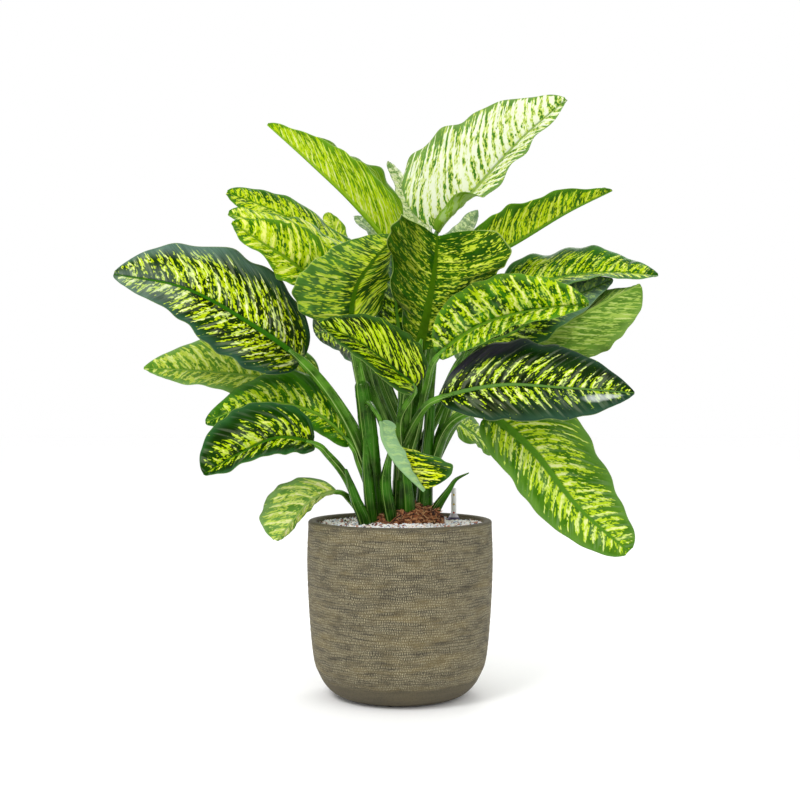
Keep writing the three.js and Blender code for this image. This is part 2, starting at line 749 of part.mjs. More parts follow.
const caneNames = Object.keys(CANES);
const canesWithGap = caneNames.map((name) => caneSolid(name, GAP));
const gaugeHole = gaugeBore(GAUGE.tubeRadius, GAUGE.bottom, 16);
const collarSeat = gaugeBore(GAUGE.collarRadius, GAUGE.collarBottom, 18);

const holes = [rootBallBlank(2 * GAP), gaugeHole, collarSeat, ...canesWithGap];

addMesh('pot', potSolid(), COLOURS.pot, 0.85);
addMesh('granules', cutClear(granulesBlank(), holes), COLOURS.granules, 0.9);
addMesh('root_ball', cutClear(rootBallBlank(0), canesWithGap), COLOURS.roots, 0.95);
addMesh('gauge_tube', gaugeTube(), COLOURS.tube, 0.15);
addMesh('gauge_collar', gaugeCollar(), COLOURS.collar, 0.4);
addMesh('gauge_float', gaugeFloat(), COLOURS.float, 0.4);
caneNames.forEach((name, index) => {
  const cane = cutClear(caneSolid(name, 0), canesWithGap.slice(0, index));
  addMesh(name, cane, COLOURS.cane, 0.45);
});

const stalksWithGap = LEAVES.map((leaf) => stalkSolid(leaf, GAP));
LEAVES.forEach((leaf, index) => {
  const cut = cutClear(leafSolid(leaf), [...canesWithGap, ...stalksWithGap.slice(0, index)]);
  addMesh(leaf.name, cut, COLOURS.leaf, 0.4);
});

export default model;
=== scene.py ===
import math
import bpy
import numpy as np
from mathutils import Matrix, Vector
from mathutils.bvhtree import BVHTree


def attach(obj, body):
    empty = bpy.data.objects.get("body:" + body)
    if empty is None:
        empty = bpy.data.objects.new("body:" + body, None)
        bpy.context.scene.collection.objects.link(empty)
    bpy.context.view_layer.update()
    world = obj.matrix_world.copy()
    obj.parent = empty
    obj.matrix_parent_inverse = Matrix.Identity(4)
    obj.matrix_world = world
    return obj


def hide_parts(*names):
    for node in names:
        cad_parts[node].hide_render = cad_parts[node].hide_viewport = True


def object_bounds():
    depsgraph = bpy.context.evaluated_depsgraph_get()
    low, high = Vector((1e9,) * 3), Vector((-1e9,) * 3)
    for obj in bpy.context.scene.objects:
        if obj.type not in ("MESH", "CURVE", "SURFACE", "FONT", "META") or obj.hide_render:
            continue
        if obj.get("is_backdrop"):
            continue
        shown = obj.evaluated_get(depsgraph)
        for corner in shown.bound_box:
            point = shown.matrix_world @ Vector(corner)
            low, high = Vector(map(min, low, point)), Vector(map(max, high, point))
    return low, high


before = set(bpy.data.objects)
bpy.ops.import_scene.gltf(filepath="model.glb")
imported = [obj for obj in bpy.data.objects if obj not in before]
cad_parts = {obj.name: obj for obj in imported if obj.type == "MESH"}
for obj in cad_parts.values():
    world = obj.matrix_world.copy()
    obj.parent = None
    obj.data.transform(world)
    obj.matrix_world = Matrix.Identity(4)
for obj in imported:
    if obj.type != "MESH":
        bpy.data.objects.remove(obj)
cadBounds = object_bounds()
bpy.ops.object.select_all(action="DESELECT")
mm = 0.001
smooth = {"interpolation_type": "SMOOTHSTEP"}


# small helpers

def linearColour(hexText):
    parts = [int(hexText[i:i + 2], 16) / 255 for i in (1, 3, 5)]
    return [c / 12.92 if c <= 0.04045 else ((c + 0.055) / 1.055) ** 2.4 for c in parts] + [1.0]


def addNode(tree, kind, settings=None, inputs=None):
    # an input takes a value, a hex colour, a socket, or a node, whose first live output is then linked
    node = tree.nodes.new(kind)
    for key, value in (settings or {}).items():
        setattr(node, key, value)
    for key, value in (inputs or {}).items():
        if isinstance(value, bpy.types.Node):
            value = next(socket for socket in value.outputs if socket.enabled)
        if isinstance(value, bpy.types.NodeSocket):
            tree.links.new(value, node.inputs[key])
        else:
            node.inputs[key].default_value = linearColour(value) if isinstance(value, str) else value
    return node


def newMaterial(name):
    material = bpy.data.materials.new(name)
    material.use_nodes = True
    material.node_tree.nodes.clear()
    return material, material.node_tree


def curvePoints(points, share):
    # a smooth curve through the points, one unit of share for its whole run
    points = np.asarray(points, float)
    last = len(points) - 1
    ends = np.vstack([2 * points[0] - points[1], points, 2 * points[-1] - points[-2]])
    place = np.clip(np.asarray(share, float), 0, 1) * last
    index = np.minimum(place.astype(int), last - 1)
    t = (place - index)[..., None]
    p0, p1, p2, p3 = (ends[index + k] for k in range(4))
    m1, m2 = (p2 - p0) / 2, (p3 - p1) / 2
    return p1 + m1 * t + (3 * (p2 - p1) - 2 * m1 - m2) * t ** 2 + (2 * (p1 - p2) + m1 + m2) * t ** 3


def runLengths(points):
    return np.concatenate([[0], np.cumsum(np.linalg.norm(np.diff(points, axis=0), axis=1))])


def evenCurve(points, share):
    # the same curve, read by its length
    fine = curvePoints(points, np.linspace(0, 1, 401))
    runs = runLengths(fine)
    return np.stack([np.interp(np.asarray(share) * runs[-1], runs, fine[:, k]) for k in range(fine.shape[1])], -1)


def unit(vectors):
    return vectors / np.maximum(np.linalg.norm(vectors, axis=-1, keepdims=True), 1e-12)


def sheet(name, points, maps=None):
    # a grid primitive with its corners moved to points[row, column], in metres
    rows, columns = points.shape[:2]
    bpy.ops.mesh.primitive_grid_add(x_subdivisions=columns - 1, y_subdivisions=rows - 1, size=2)
    piece = bpy.context.object
    piece.name = piece.data.name = name
    mesh = piece.data
    flat = np.empty(len(mesh.vertices) * 3)
    mesh.vertices.foreach_get("co", flat)
    flat = flat.reshape(-1, 3)
    column = np.rint((flat[:, 0] + 1) / 2 * (columns - 1)).astype(int)
    row = np.rint((flat[:, 1] + 1) / 2 * (rows - 1)).astype(int)
    mesh.vertices.foreach_set("co", points[row, column].ravel())
    corner = np.empty(len(mesh.loops), int)
    mesh.loops.foreach_get("vertex_index", corner)
    while mesh.uv_layers:
        mesh.uv_layers.remove(mesh.uv_layers[0])
    for mapName, values in (maps or {}).items():
        layer = mesh.uv_layers.new(name=mapName)
        layer.data.foreach_set("uv", values[row[corner], column[corner]].ravel())
    mesh.update()
    return piece


def closeUp(piece):
    # the seam is merged and open ends are filled
    bpy.ops.object.select_all(action="DESELECT")
    piece.select_set(True)
    bpy.context.view_layer.objects.active = piece
    bpy.ops.object.mode_set(mode="EDIT")
    bpy.ops.mesh.select_all(action="SELECT")
    bpy.ops.mesh.remove_doubles(threshold=1e-6)
    bpy.ops.mesh.fill_holes(sides=0)
    bpy.ops.object.mode_set(mode="OBJECT")
    bpy.ops.object.shade_smooth()
    return piece


def joined(pieces, name):
    bpy.ops.object.select_all(action="DESELECT")
    for piece in pieces:
        piece.select_set(True)
    bpy.context.view_layer.objects.active = pieces[0]
    if len(pieces) > 1:
        bpy.ops.object.join()
    whole = bpy.context.object
    whole.name = whole.data.name = name
    return whole


def ringFrames(centre, first=None):
    # directions across a run of points, carried along it without twist
    along = unit(np.gradient(centre, axis=0))
    if first is None:
        first = np.cross(along[0], [0.0, 1.0, 0.0])
        if np.linalg.norm(first) < 0.2:
            first = np.cross(along[0], [1.0, 0.0, 0.0])
    across = [unit(first - along[0] * np.dot(first, along[0]))]
    for direction in along[1:]:
        carried = across[-1] - direction * np.dot(across[-1], direction)
        across.append(unit(carried))
    across = np.array(across)
    return along, across, np.cross(along, across)


def sweep(name, centre, radii, sides, shaping=None, first=None):
    # a round stem through the centre points, shaping(angle, run) scales its radius
    runs = runLengths(centre)
    along, across, beside = ringFrames(centre, first)
    angle = np.linspace(0, 2 * math.pi, sides + 1)
    radius = np.repeat(np.asarray(radii, float)[:, None], sides + 1, 1)
    if shaping:
        radius = radius * shaping(angle[None, :], runs[:, None])
    ring = np.cos(angle)[None, :, None] * across[:, None] + np.sin(angle)[None, :, None] * beside[:, None]
    points = centre[:, None] + ring * radius[..., None]
    runMap = np.stack(np.broadcast_arrays(runs[:, None], angle[None, :] * np.mean(radii)), -1)
    shareMap = np.stack(np.broadcast_arrays(runs[:, None] / runs[-1], angle[None, :] / (2 * math.pi)), -1)
    return closeUp(sheet(name, points, {"veinRun": runMap, "bladeShare": shareMap}))


def finish(piece, replaced=()):
    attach(piece, "root")
    if replaced:
        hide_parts(*replaced)
    return piece


# camera and room

view = dict(distance=2.2, eyeHeight=0.506, lens=57.4, sensor=36)
camera = bpy.data.cameras.new("camera")
camera.lens = view["lens"]
camera.sensor_width = view["sensor"]
camera.clip_end = 50
cameraObject = bpy.data.objects.new("camera", camera)
bpy.context.collection.objects.link(cameraObject)
cameraObject.location = (0, -view["distance"], view["eyeHeight"])
cameraObject.rotation_euler = (math.radians(90), 0, 0)
bpy.context.scene.camera = cameraObject
bpy.context.scene.view_settings.view_transform = "Standard"

room = dict(floor="#ffffff", sky="#ffffff", skyStrength=1.0, key=42, fill=10, back=14)
bpy.ops.mesh.primitive_plane_add(size=30, location=(0, 0, 0))
floor = bpy.context.object
floor.name = "floor"
floorMaterial, tree = newMaterial("paintedFloor")
shader = addNode(tree, "ShaderNodeBsdfPrincipled", None, {"Base Color": room["floor"], "Roughness": 0.8})
addNode(tree, "ShaderNodeOutputMaterial", None, {"Surface": shader})
floor.data.materials.append(floorMaterial)
floor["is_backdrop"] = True

world = bpy.data.worlds.new("softRoom")
world.use_nodes = True
world.node_tree.nodes["Background"].inputs[0].default_value = linearColour(room["sky"])
world.node_tree.nodes["Background"].inputs[1].default_value = room["skyStrength"]
bpy.context.scene.world = world


def softLight(name, place, aim, size, power):
    light = bpy.data.lights.new(name, "AREA")
    light.shape = "DISK"
    light.size = size
    light.energy = power
    lamp = bpy.data.objects.new(name, light)
    bpy.context.collection.objects.link(lamp)
    lamp.location = place
    lamp.rotation_euler = (Vector(aim) - Vector(place)).to_track_quat("-Z", "Y").to_euler()


softLight("keyLight", (-1.3, -1.9, 2.6), (0, 0, 0.6), 1.1, room["key"])
softLight("fillLight", (2.2, -1.8, 1.2), (0, 0, 0.5), 1.6, room["fill"])
softLight("backLight", (0.6, 2.0, 2.2), (0, 0, 0.7), 1.4, room["back"])
print("camera, room and lights")

# leaves, each as its stalk and midrib path, and how far each half reaches near its base and tip, in mm

leaves = [
    dict(node="leaf_01", look="boldStriped", stalk=3, shape=(0.42, 0.66), ruffle=1.5, wave=(4, 2.5, 0.2), girth=(11, 7.5),
         path=[(-44, -7, 345), (-69, -10, 420), (-105, -35, 496), (-164, -60, 571),
               (-255, -90, 637), (-353, -118, 689), (-465, -135, 710)],
         left=[(36, 35, 82, 30), (42, 30, 91, 30)], right=[(-33, -35, -65, 25), (-16, -40, -49, 25)]),
    dict(node="leaf_02", look="softGreen", stalk=2, shape=(0.5, 0.8), wave=(3, 2, 0.1),
         path=[(-46, -6, 372), (-83, 39, 463), (-142, 29, 534),
               (-241, 19, 546), (-343, 9, 556), (-443, -1, 561)],
         left=[(3, 45, 75, 30), (3, 45, 75, 30)], right=[(7, -45, -36, 20), (7, -50, -34, 20)]),
    dict(node="leaf_03", look="plainMargin", stalk=2, shape=(0.42, 0.6), wave=(2, 2, 0.6),
         path=[(-44, -7, 330), (-69, -15, 395), (-85, -20, 431),
               (-144, -40, 484), (-232, -60, 501), (-326, -70, 469)],
         left=[(10, 44, 60, 35), (7, 44, 54, 35)], right=[(-5, -36, -26, 20), (-7, -32, -40, 20)]),
    dict(node="leaf_04", look="fineStreaked", stalk=3, shape=(0.4, 0.62), wave=(3, 2, 0.3), girth=(11, 7), veins=(-0.1, 0.0008), leftVeins=(1.1, 0.002),
         path=[(-46, -8, 340), (-51, -15, 455), (-73, -35, 565), (-82, -55, 632),
               (-73, -80, 692), (-46, -100, 732), (-7, -110, 775)],
         left=[(63, 40, 7, 30), (26, 50, -10, 30)], right=[(-112, -20, 7, 30), (-66, -10, 20, 30)]),
    dict(node="leaf_05", look="limeHeart", stalk=3, shape=(0.45, 0.65), wave=(6, 2, 0), girth=(9, 5.5),
         path=[(3, -8, 385), (-55, -6, 532), (-94, -21, 634), (-143, -41, 703),
               (-185, -66, 739), (-229, -91, 766), (-276, -111, 797)],
         left=[(50, 12, 53, 40), (23, 14, 40, 40)], right=[(-20, -40, -30, 20), (-7, -45, -20, 20)]),
    dict(node="leaf_06", look="limeHeart", stalk=2, shape=(0.45, 0.5), wave=(5, 2, 0.4), girth=(9, 5.5),
         path=[(3, -6, 410), (-49, 30, 541), (-83, 10, 734),
               (-150, -10, 774), (-220, -32, 800), (-290, -52, 821)],
         left=[(20, 45, 27, 30), (14, 45, 30, 30)], right=[(-17, -45, -27, 30), (-7, -45, -24, 30)]),
    dict(node="leaf_07", look="limeSpeckled", stalk=2, shape=(0.45, 0.5), wave=(5, 2, 0.1), girth=(9, 5.5),
         path=[(22, 60, 405), (-46, 66, 577), (-74, 61, 738),
               (-145, 46, 798), (-226, 31, 839), (-302, 16, 867)],
         left=[(10, 45, 28, 30), (14, 35, 38, 30)], right=[(-17, -40, -28, 30), (-7, -40, -28, 30)]),
    dict(node="leaf_08", look="limeYoung", stalk=2, shape=(0.5, 0.6), wave=(2, 2, 0.1), girth=(5, 3.5),
         path=[(23, 62, 430), (-45, 119, 596), (-96, 124, 722),
               (-115, 129, 766), (-117, 134, 810), (-134, 137, 850)],
         left=[(26, -36, 6, 30), (20, -36, 2, 30)], right=[(-42, 20, 4, 30), (-36, 20, 10, 30)]),
    dict(node="leaf_09", look="darkBlotched", stalk=3, shape=(0.42, 0.55), wave=(2, 2, 0.1),
         path=[(-67, -35, 318), (-92, -30, 373), (-121, -55, 413), (-143, -75, 433),
               (-200, -110, 444), (-258, -140, 420), (-316, -155, 387)],
         left=[(-3, 4, 61, 35), (-39, 4, 68, 30)], right=[(5, -55, -26, 20), (8, -50, -19, 20)]),
    dict(node="leaf_10", look="paleStriped", stalk=2, shape=(0.5, 0.55), wave=(2, 2, 0.5), girth=(6, 4),
         path=[(-62, -31, 306), (-86, -10, 334), (-105, -40, 350),
               (-147, -70, 339), (-177, -90, 306), (-203, -95, 273)],
         left=[(-42, -12, 34, 30), (-76, -12, 6, 30)], right=[(7, 45, -7, 30), (10, 35, -5, 30)]),
    dict(node="leaf_11", look="limeBacklit", stalk=3, veins=(1.4, 0.01), shape=(0.45, 0.65), wave=(4, 3, 0.2),
         path=[(3, -8, 384), (3, 20, 541), (3, 10, 697), (-21, 0, 773),
               (-79, -20, 841), (-151, -40, 907), (-224, -55, 970)],
         left=[(61, 60, 64, 30), (34, 50, 37, 30)], right=[(44, -25, 51, 30), (24, -20, 37, 30)]),
    dict(node="leaf_12", look="oliveBroad", stalk=2, shape=(0.45, 0.42), wave=(6, 3, 0.2), girth=(9, 6.5),
         veins=(0.2, 0.001), leftVeins=(-0.15, 0.0014),
         path=[(3, -16, 369), (12, -26, 506), (32, -51, 590),
               (45, -96, 652), (55, -156, 712), (58, -221, 761)],
         left=[(93, 14, 20, 20), (138, 10, 44, 25)], right=[(-48, 10, 29, 30), (-84, 10, 90, 20)]),
    dict(node="leaf_13", look="herringbone", stalk=2, veins=(1.4, 0.004), shape=(0.42, 0.6), wave=(2, 2, 0.3),
         path=[(3, -9, 400), (0, -66, 476), (24, -124, 524),
               (-3, -150, 551), (-64, -175, 598), (-126, -190, 626)],
         left=[(38, 25, 54, 35), (22, 25, 44, 35)], right=[(-13, -40, -24, 20), (-10, -40, -21, 20)]),
    dict(node="leaf_14", look="yellowHeart", stalk=3, shape=(2.0, 0.34), leftRise=0.45, wave=(2, 2, 0.1), girth=(4.5, 3),
         path=[(-59, -23, 494), (-53, -60, 502), (-43, -95, 490), (-31, -118, 470),
               (-26, -148, 440), (-3, -170, 401), (38, -178, 360)],
         left=[(34, -36, 8, 60), (13, -14, 5, 60)], right=[(84, 5, -6, 40), (84, 0, 8, 30)]),
    dict(node="leaf_15", look="darkStriped", stalk=2, shape=(0.5, 0.7), wave=(2, 2, 0.1),
         path=[(3, -8, 402), (3, 3, 506), (0, -12, 600),
               (-5, -22, 651), (-10, -32, 701), (-14, -37, 756)],
         left=[(37, 10, 3, 30), (34, 10, 3, 30)], right=[(-41, 10, 3, 30), (-37, 10, 3, 30)]),
    dict(node="leaf_16", look="greyYoung", stalk=2, shape=(0.5, 0.7), wave=(3, 2, 0.1),
         path=[(23, 62, 416), (7, 100, 614), (-15, 120, 757),
               (-37, 140, 798), (-61, 165, 827), (-86, 190, 851)],
         left=[(17, 38, 34, 30), (15, 36, 26, 30)], right=[(-7, -42, -14, 30), (-6, -34, -10, 30)]),
    dict(node="leaf_17", look="limeStriped", stalk=3, veins=(-0.25, -0.001), shape=(0.42, 0.65), wave=(3, 2, 0.2),
         path=[(4, -8, 372), (29, -25, 455), (46, -56, 531), (63, -90, 579),
               (132, -116, 628), (219, -138, 652), (305, -150, 660)],
         left=[(13, -50, -23, 20), (6, -50, -23, 20)], right=[(-16, -22, 71, 20), (-3, -24, 65, 30)]),
    dict(node="leaf_18", look="darkBold", stalk=2, shape=(0.6, 0.84), wave=(3, 2.5, 0.3),
         path=[(4, -10, 421), (33, -70, 481), (65, -115, 509),
               (161, -150, 530), (266, -180, 525), (369, -200, 517)],
         left=[(6, -37, -54, 30), (6, -37, -64, 30)], right=[(6, 40, 75, 35), (13, 40, 75, 30)]),
    dict(node="leaf_19", look="marbled", stalk=3, shape=(0.34, 0.45), wave=(3, 3, 0.3), ruffle=0.7, girth=(9, 7),
         path=[(55, 0, 385), (77, -25, 451), (106, -50, 481), (145, -75, 483),
               (217, -100, 424), (291, -112, 331), (375, -112, 257)],
         left=[(-49, -15, -38, 30), (-46, -17, -34, 30)], right=[(90, 27, 50, 30), (66, 23, 32, 30)]),
    dict(node="leaf_20", look="limeSpeckled", stalk=3, shape=(0.42, 0.7), wave=(6, 2.6, 0.5), ruffle=1.4,
         folds=[(1, 0.90, 0.09, -170)],
         path=[(45, 4, 384), (55, 10, 541), (72, 0, 678), (117, -5, 737),
               (192, -15, 772), (283, -25, 825), (362, -30, 863)],
         left=[(-27, -35, 58, 30), (-15, -30, 38, 30)], right=[(-14, 50, 38, 30), (-10, 50, 24, 30)]),
    dict(node="leaf_21", look="speckled", stalk=3, shape=(0.4, 0.6), wave=(4, 2, 0),
         path=[(21, 61, 384), (97, 58, 541), (137, 48, 638), (174, 33, 687),
               (259, 13, 715), (352, -12, 725), (441, -27, 718)],
         left=[(3, -60, -18, 20), (3, -56, -16, 20)], right=[(-3, 52, 58, 35), (0, 52, 50, 35)]),
    dict(node="leaf_22", look="fadedBack", stalk=3, veins=(1.6, 0), shape=(0.45, 0.6), wave=(5, 2, 0.4),
         path=[(44, 5, 367), (87, 10, 454), (155, 0, 558), (223, -15, 605),
               (282, -35, 637), (343, -55, 669), (403, -65, 700)],
         left=[(-20, 50, 30, 30), (-10, 50, 13, 30)], right=[(38, -30, -60, 30), (34, -28, -66, 30)]),
    dict(node="leaf_23", look="darkStriped", stalk=2, shape=(0.45, 0.65), wave=(3, 2, 0.4),
         path=[(45, 4, 375), (79, 24, 471), (122, 14, 586),
               (194, -1, 622), (275, -16, 671), (363, -31, 712)],
         left=[(10, -45, -45, 30), (10, -45, -34, 30)], right=[(-21, 45, 38, 30), (-17, 45, 34, 30)]),
    dict(node="leaf_24", look="creamBlade", stalk=3, shape=(0.42, 0.62), wave=(3, 4.2, 0.2), ruffle=1.1,
         folds=[(-1, 0.04, 0.24, -175)],
         path=[(21, 60, 382), (35, 55, 541), (53, 45, 717), (65, 40, 801),
               (137, 45, 881), (213, 45, 964), (292, 30, 1032)],
         left=[(22, -50, -17, 30), (14, -54, -19, 30)], right=[(-122, 10, 74, 30), (-58, 10, 62, 30)]),
    dict(node="leaf_25", look="paleCream", stalk=2, shape=(0.45, 0.6), wave=(4, 2, 0.2),
         path=[(22, 61, 399), (33, 110, 578), (44, 140, 763),
               (26, 160, 848), (4, 185, 912), (-23, 205, 957)],
         left=[(36, 46, -4, 30), (32, 44, -4, 30)], right=[(-36, 44, 14, 30), (-30, 44, 12, 30)]),
    dict(node="leaf_26", look="marbled", stalk=2, shape=(0.45, 0.6), wave=(4, 2, 0.2),
         path=[(27, 70, 364), (54, 100, 452), (88, 140, 473),
               (122, 190, 454), (158, 230, 428), (192, 250, 400)],
         left=[(-12, -56, -18, 30), (-8, -50, -14, 30)], right=[(12, 66, 30, 30), (8, 66, 24, 30)]),
    dict(node="leaf_27", look="darkBlotched", stalk=2, shape=(0.45, 0.6), wave=(4, 2, 0.2),
         path=[(21, 63, 380), (-15, 140, 488), (-47, 192, 562),
               (-92, 250, 614), (-134, 312, 640), (-172, 372, 640)],
         left=[(-30, -18, 70, 30), (-28, -18, 66, 30)], right=[(28, 26, -62, 30), (24, 24, -54, 30)]),
    dict(node="leaf_28", look="greyYoung", stalk=2, shape=(0.45, 0.6), wave=(4, 2, 0.2),
         path=[(22, 62, 391), (73, 130, 506), (108, 182, 577),
               (146, 240, 622), (190, 304, 650), (230, 366, 652)],
         left=[(32, 24, -60, 30), (26, 22, -54, 30)], right=[(-36, -16, 66, 30), (-28, -16, 62, 30)]),
    dict(node="leaf_29", look="plainMargin", stalk=2, shape=(0.45, 0.6), wave=(4, 2, 0.2),
         path=[(23, 62, 416), (33, 150, 543), (38, 206, 657),
               (40, 264, 732), (42, 322, 784), (46, 384, 812)],
         left=[(76, 10, 16, 30), (66, 10, 16, 30)], right=[(-76, 10, 16, 30), (-66, 10, 16, 30)]),
    dict(node="leaf_30", look="greyYoung", stalk=2, shape=(0.45, 0.6), wave=(4, 2, 0.2),
         path=[(22, 61, 381), (45, 110, 542), (74, 150, 709),
               (97, 180, 777), (123, 210, 827), (149, 240, 870)],
         left=[(28, 48, -10, 30), (24, 44, -8, 30)], right=[(-36, 48, 18, 30), (-30, 46, 14, 30)]),
]

# leaves: living Dieffenbachia foliage, waxy above and dull below, so it shines softly and lets some light through

# in each look, sheen is the colour of a painted sheen along the margin, silver the strength of painted silvery sheen
# bands, and the last list holds ovals of painted sheen, painted highlight and painted shade
leafLooks = {
    "boldStriped": dict(ground="#163e02", deep="#061e00", streak="#b4cc06", light="#eef0b4", rib="#2c6408", sheen="#36604e",
                        cover=0.44, band=0.55, size=1.08, margin=0.84, through=0.08, dull=0.5, silver=0.5, ribWide=4.6,
                     paintedLightAndShade=[("#9cb4a4", 0.92, 0.36, 0.36, 1.0, 0.36), ("#8ca89c", 0.68, 0.5, -0.96, 0.4, 0.32), ("#081e00", 0.0, 0.3, 0.0, 2.4, 0.5)]),
    "softGreen": dict(ground="#78a83a", deep="#5c9024", streak="#ccdc50", light="#e4ee98", rib="#8cb44c", sheen="#8cb070",
                      cover=0.52, band=0.7, size=1.20, margin=0.88, through=0.28, dull=0.3, silver=0.2, ribWide=3.0),
    "plainMargin": dict(ground="#44840e", deep="#245a04", streak="#b8d41c", light="#e4f080", rib="#74a42c", sheen="#52842c",
                        cover=0.46, band=0.7, size=1.00, margin=0.62, through=0.20, dull=0.3, silver=0.2, ribWide=3.6),
    "fineStreaked": dict(ground="#447814", deep="#1c4404", streak="#c6dc24", light="#e8ee70", rib="#426e06", sheen="#40700c",
                         rim=0.6, cover=0.42, band=0.4, size=0.62, margin=1.02, through=0.22, dull=0.2, silver=0.1,
                         ribWide=4.6, stretch=3.6,
                     paintedLightAndShade=[("#5c8844", 0.45, 0.9, 0.96, 1.0, 0.45)]),
    "oliveBroad": dict(ground="#3c7006", deep="#205004", streak="#cade34", light="#eaf06c", rib="#446c04", sheen="#3c6808",
                       rim=0.8, cover=0.36, band=0.35, size=0.66, margin=1.05, through=0.22, dull=0.15, silver=0.05,
                       ribWide=7.5, stretch=2.2,
                     paintedLightAndShade=[("#163800", 0.5, 1.3, 1.1, 1.24, 0.85)]),
    "limeHeart": dict(ground="#58980a", deep="#367004", streak="#c4dc10", light="#f2f488", rib="#84b020", sheen="#74a428",
                      cover=0.65, band=0.8, size=1.00, margin=0.92, through=0.32, dull=0.2, silver=0.2, ribWide=3.2),
    "limeSpeckled": dict(ground="#549408", deep="#266002", streak="#cce010", light="#e8f070", rib="#6ca020", sheen="#629a1c",
                         cover=0.58, band=0.5, size=0.80, margin=0.84, through=0.32, dull=0.08, silver=0.1, ribWide=3.2, stretch=1.3),
    "limeYoung": dict(ground="#84b41c", deep="#5c940c", streak="#d4e43c", light="#f2f4a8", rib="#b0d048", sheen="#98bc44",
                      cover=0.60, band=0.4, size=0.90, margin=0.96, through=0.36, dull=0.2, silver=0.1, ribWide=2.4),
    "limeBacklit": dict(ground="#78b00c", deep="#549004", streak="#cce414", light="#f4f8a8", rib="#a0cc28", sheen="#88b82c",
                        rim=0.6, cover=0.64, band=0.3, size=0.95, margin=0.96, through=0.40, dull=0.05, silver=0.1,
                        ribWide=3.2, stretch=0.9,
                     paintedLightAndShade=[("#36700e", 0.5, 0.6, -1.0, 0.56, 0.7)]),
    "darkBlotched": dict(ground="#164402", deep="#082600", streak="#b0cc06", light="#e2e878", rib="#407410", sheen="#336a38",
                         cover=0.4, band=0.6, size=1.05, margin=0.66, through=0.10, dull=0.4, silver=0.3, ribWide=3.8),
    "paleStriped": dict(ground="#80ac54", deep="#669838", streak="#cce060", light="#eef0b0", rib="#a8c868", sheen="#94b474",
                        cover=0.56, band=0.8, size=0.90, margin=0.88, through=0.28, dull=0.3, silver=0.2, ribWide=2.8),
    "darkStriped": dict(ground="#1a4402", deep="#0a2800", streak="#98b808", light="#ccd850", rib="#48781c", sheen="#386638",
                        cover=0.4, band=0.8, size=0.90, margin=0.80, through=0.12, dull=0.4, silver=0.2, ribWide=3.2,
                     paintedLightAndShade=[("#7c9c84", 0.9, 0.42, 0.0, 2.4, 0.55)]),
    "herringbone": dict(ground="#123a00", deep="#062000", streak="#a8c802", light="#d0dc50", rib="#2a5a08", sheen="#4c7830",
                        cover=0.45, band=0.95, size=0.85, margin=0.86, through=0.14, dull=0.3, silver=0.1, ribWide=2.2, stretch=1.1),
    "yellowHeart": dict(ground="#184802", deep="#0a2a00", streak="#ccdc0c", light="#f0f080", rib="#7ca828", sheen="#4c8038",
                        cover=0.52, band=0.9, size=0.85, margin=0.9, through=0.14, dull=0.86, silver=0.2, ribWide=2.4, below="#92b886", stretch=1.4),
    "greyYoung": dict(ground="#84a070", deep="#688a58", streak="#b4c888", light="#dce4b8", rib="#a8bc88", sheen="#90a888",
                      cover=0.48, band=0.4, size=0.90, margin=0.92, through=0.22, dull=0.3, silver=0.1, ribWide=2.4),
    "limeStriped": dict(ground="#3e820a", deep="#143e02", streak="#b4d00c", light="#ecf090", rib="#6c9c24", sheen="#6c9c30",
                        cover=0.5, band=1.0, size=1.00, margin=1.0, through=0.20, dull=0.3, silver=0.25, ribWide=3.8),
    "darkBold": dict(ground="#0a2c04", deep="#031400", streak="#aac802", light="#eceea0", rib="#547c34", sheen="#2c4a3c",
                     cover=0.33, band=0.9, size=0.95, margin=0.66, through=0.05, dull=0.5, silver=0.4, ribWide=3.8,
                     paintedLightAndShade=[("#443c50", 0.2, 0.3, 0.98, 0.52, 0.85), ("#eef4ee", 0.84, 0.12, -0.38, 0.22, 0.8), ("#335846", 0.85, 0.5, -0.7, 1.0, 0.35)]),
    "marbled": dict(ground="#5a8820", deep="#3c700c", streak="#b8d424", light="#e4ec98", rib="#568a20", sheen="#6c9844",
                    cover=0.52, band=0.8, size=1.05, margin=0.74, through=0.18, dull=0.3, silver=0.35, ribWide=6.5),
    "speckled": dict(ground="#347410", deep="#1e5004", streak="#b8d20c", light="#e6ec78", rib="#548c28", sheen="#5a8c4c",
                     cover=0.46, band=0.5, size=0.80, margin=0.84, through=0.14, dull=0.3, silver=0.2, ribWide=3.2),
    "fadedBack": dict(ground="#669628", deep="#447410", streak="#acc854", light="#d4e08c", rib="#8cac44", sheen="#80a050",
                      cover=0.48, band=0.7, size=1.00, margin=0.90, through=0.20, dull=0.25, silver=0.1, ribWide=3.6,
                     paintedLightAndShade=[("#2c5c08", 0.4, 0.8, -0.84, 0.72, 0.6)]),
    "creamBlade": dict(ground="#609a38", deep="#428028", streak="#d6e468", light="#ffffee", rib="#a8c45c", sheen="#98b864",
                       cover=0.78, band=0.9, size=1.00, margin=0.95, through=0.34, dull=0.8, silver=0.1, ribWide=3.6, below="#86b028", core=0.015),
    "paleCream": dict(ground="#88a860", deep="#689444", streak="#d4e0a0", light="#f4f6dc", rib="#b4c888", sheen="#9cb480",
                      cover=0.64, band=0.7, size=1.00, margin=0.97, through=0.30, dull=0.2, silver=0.1, ribWide=2.8),
}

leafBuild = dict(rows=84, halfColumns=18, thickness=0.9, ribDepth=3.0, grooveDepth=1.1, veinPitch=18.0,
                 veinRelief=1.1, veinLean=0.45, veinBend=0.006, girth=(7.5, 5), stalkSides=32, stalkSteps=34,
                 ruffle=2.2, outlineJitter=0.022, wing=0.42)

patternSize = dict(grainWidth=3.6, grainLength=4.6, blotWidth=6.0, blotLength=11, streakWidth=7.5, streakLength=50,
                   patch=34, veinLine=1.1, sheenWidth=9, sheenLength=44, bendWidth=17, bendLength=34)   # mm
patternWeight = dict(grain=0.36, blots=0.46, streaks=0.36, patches=0.22, bends=8.0)


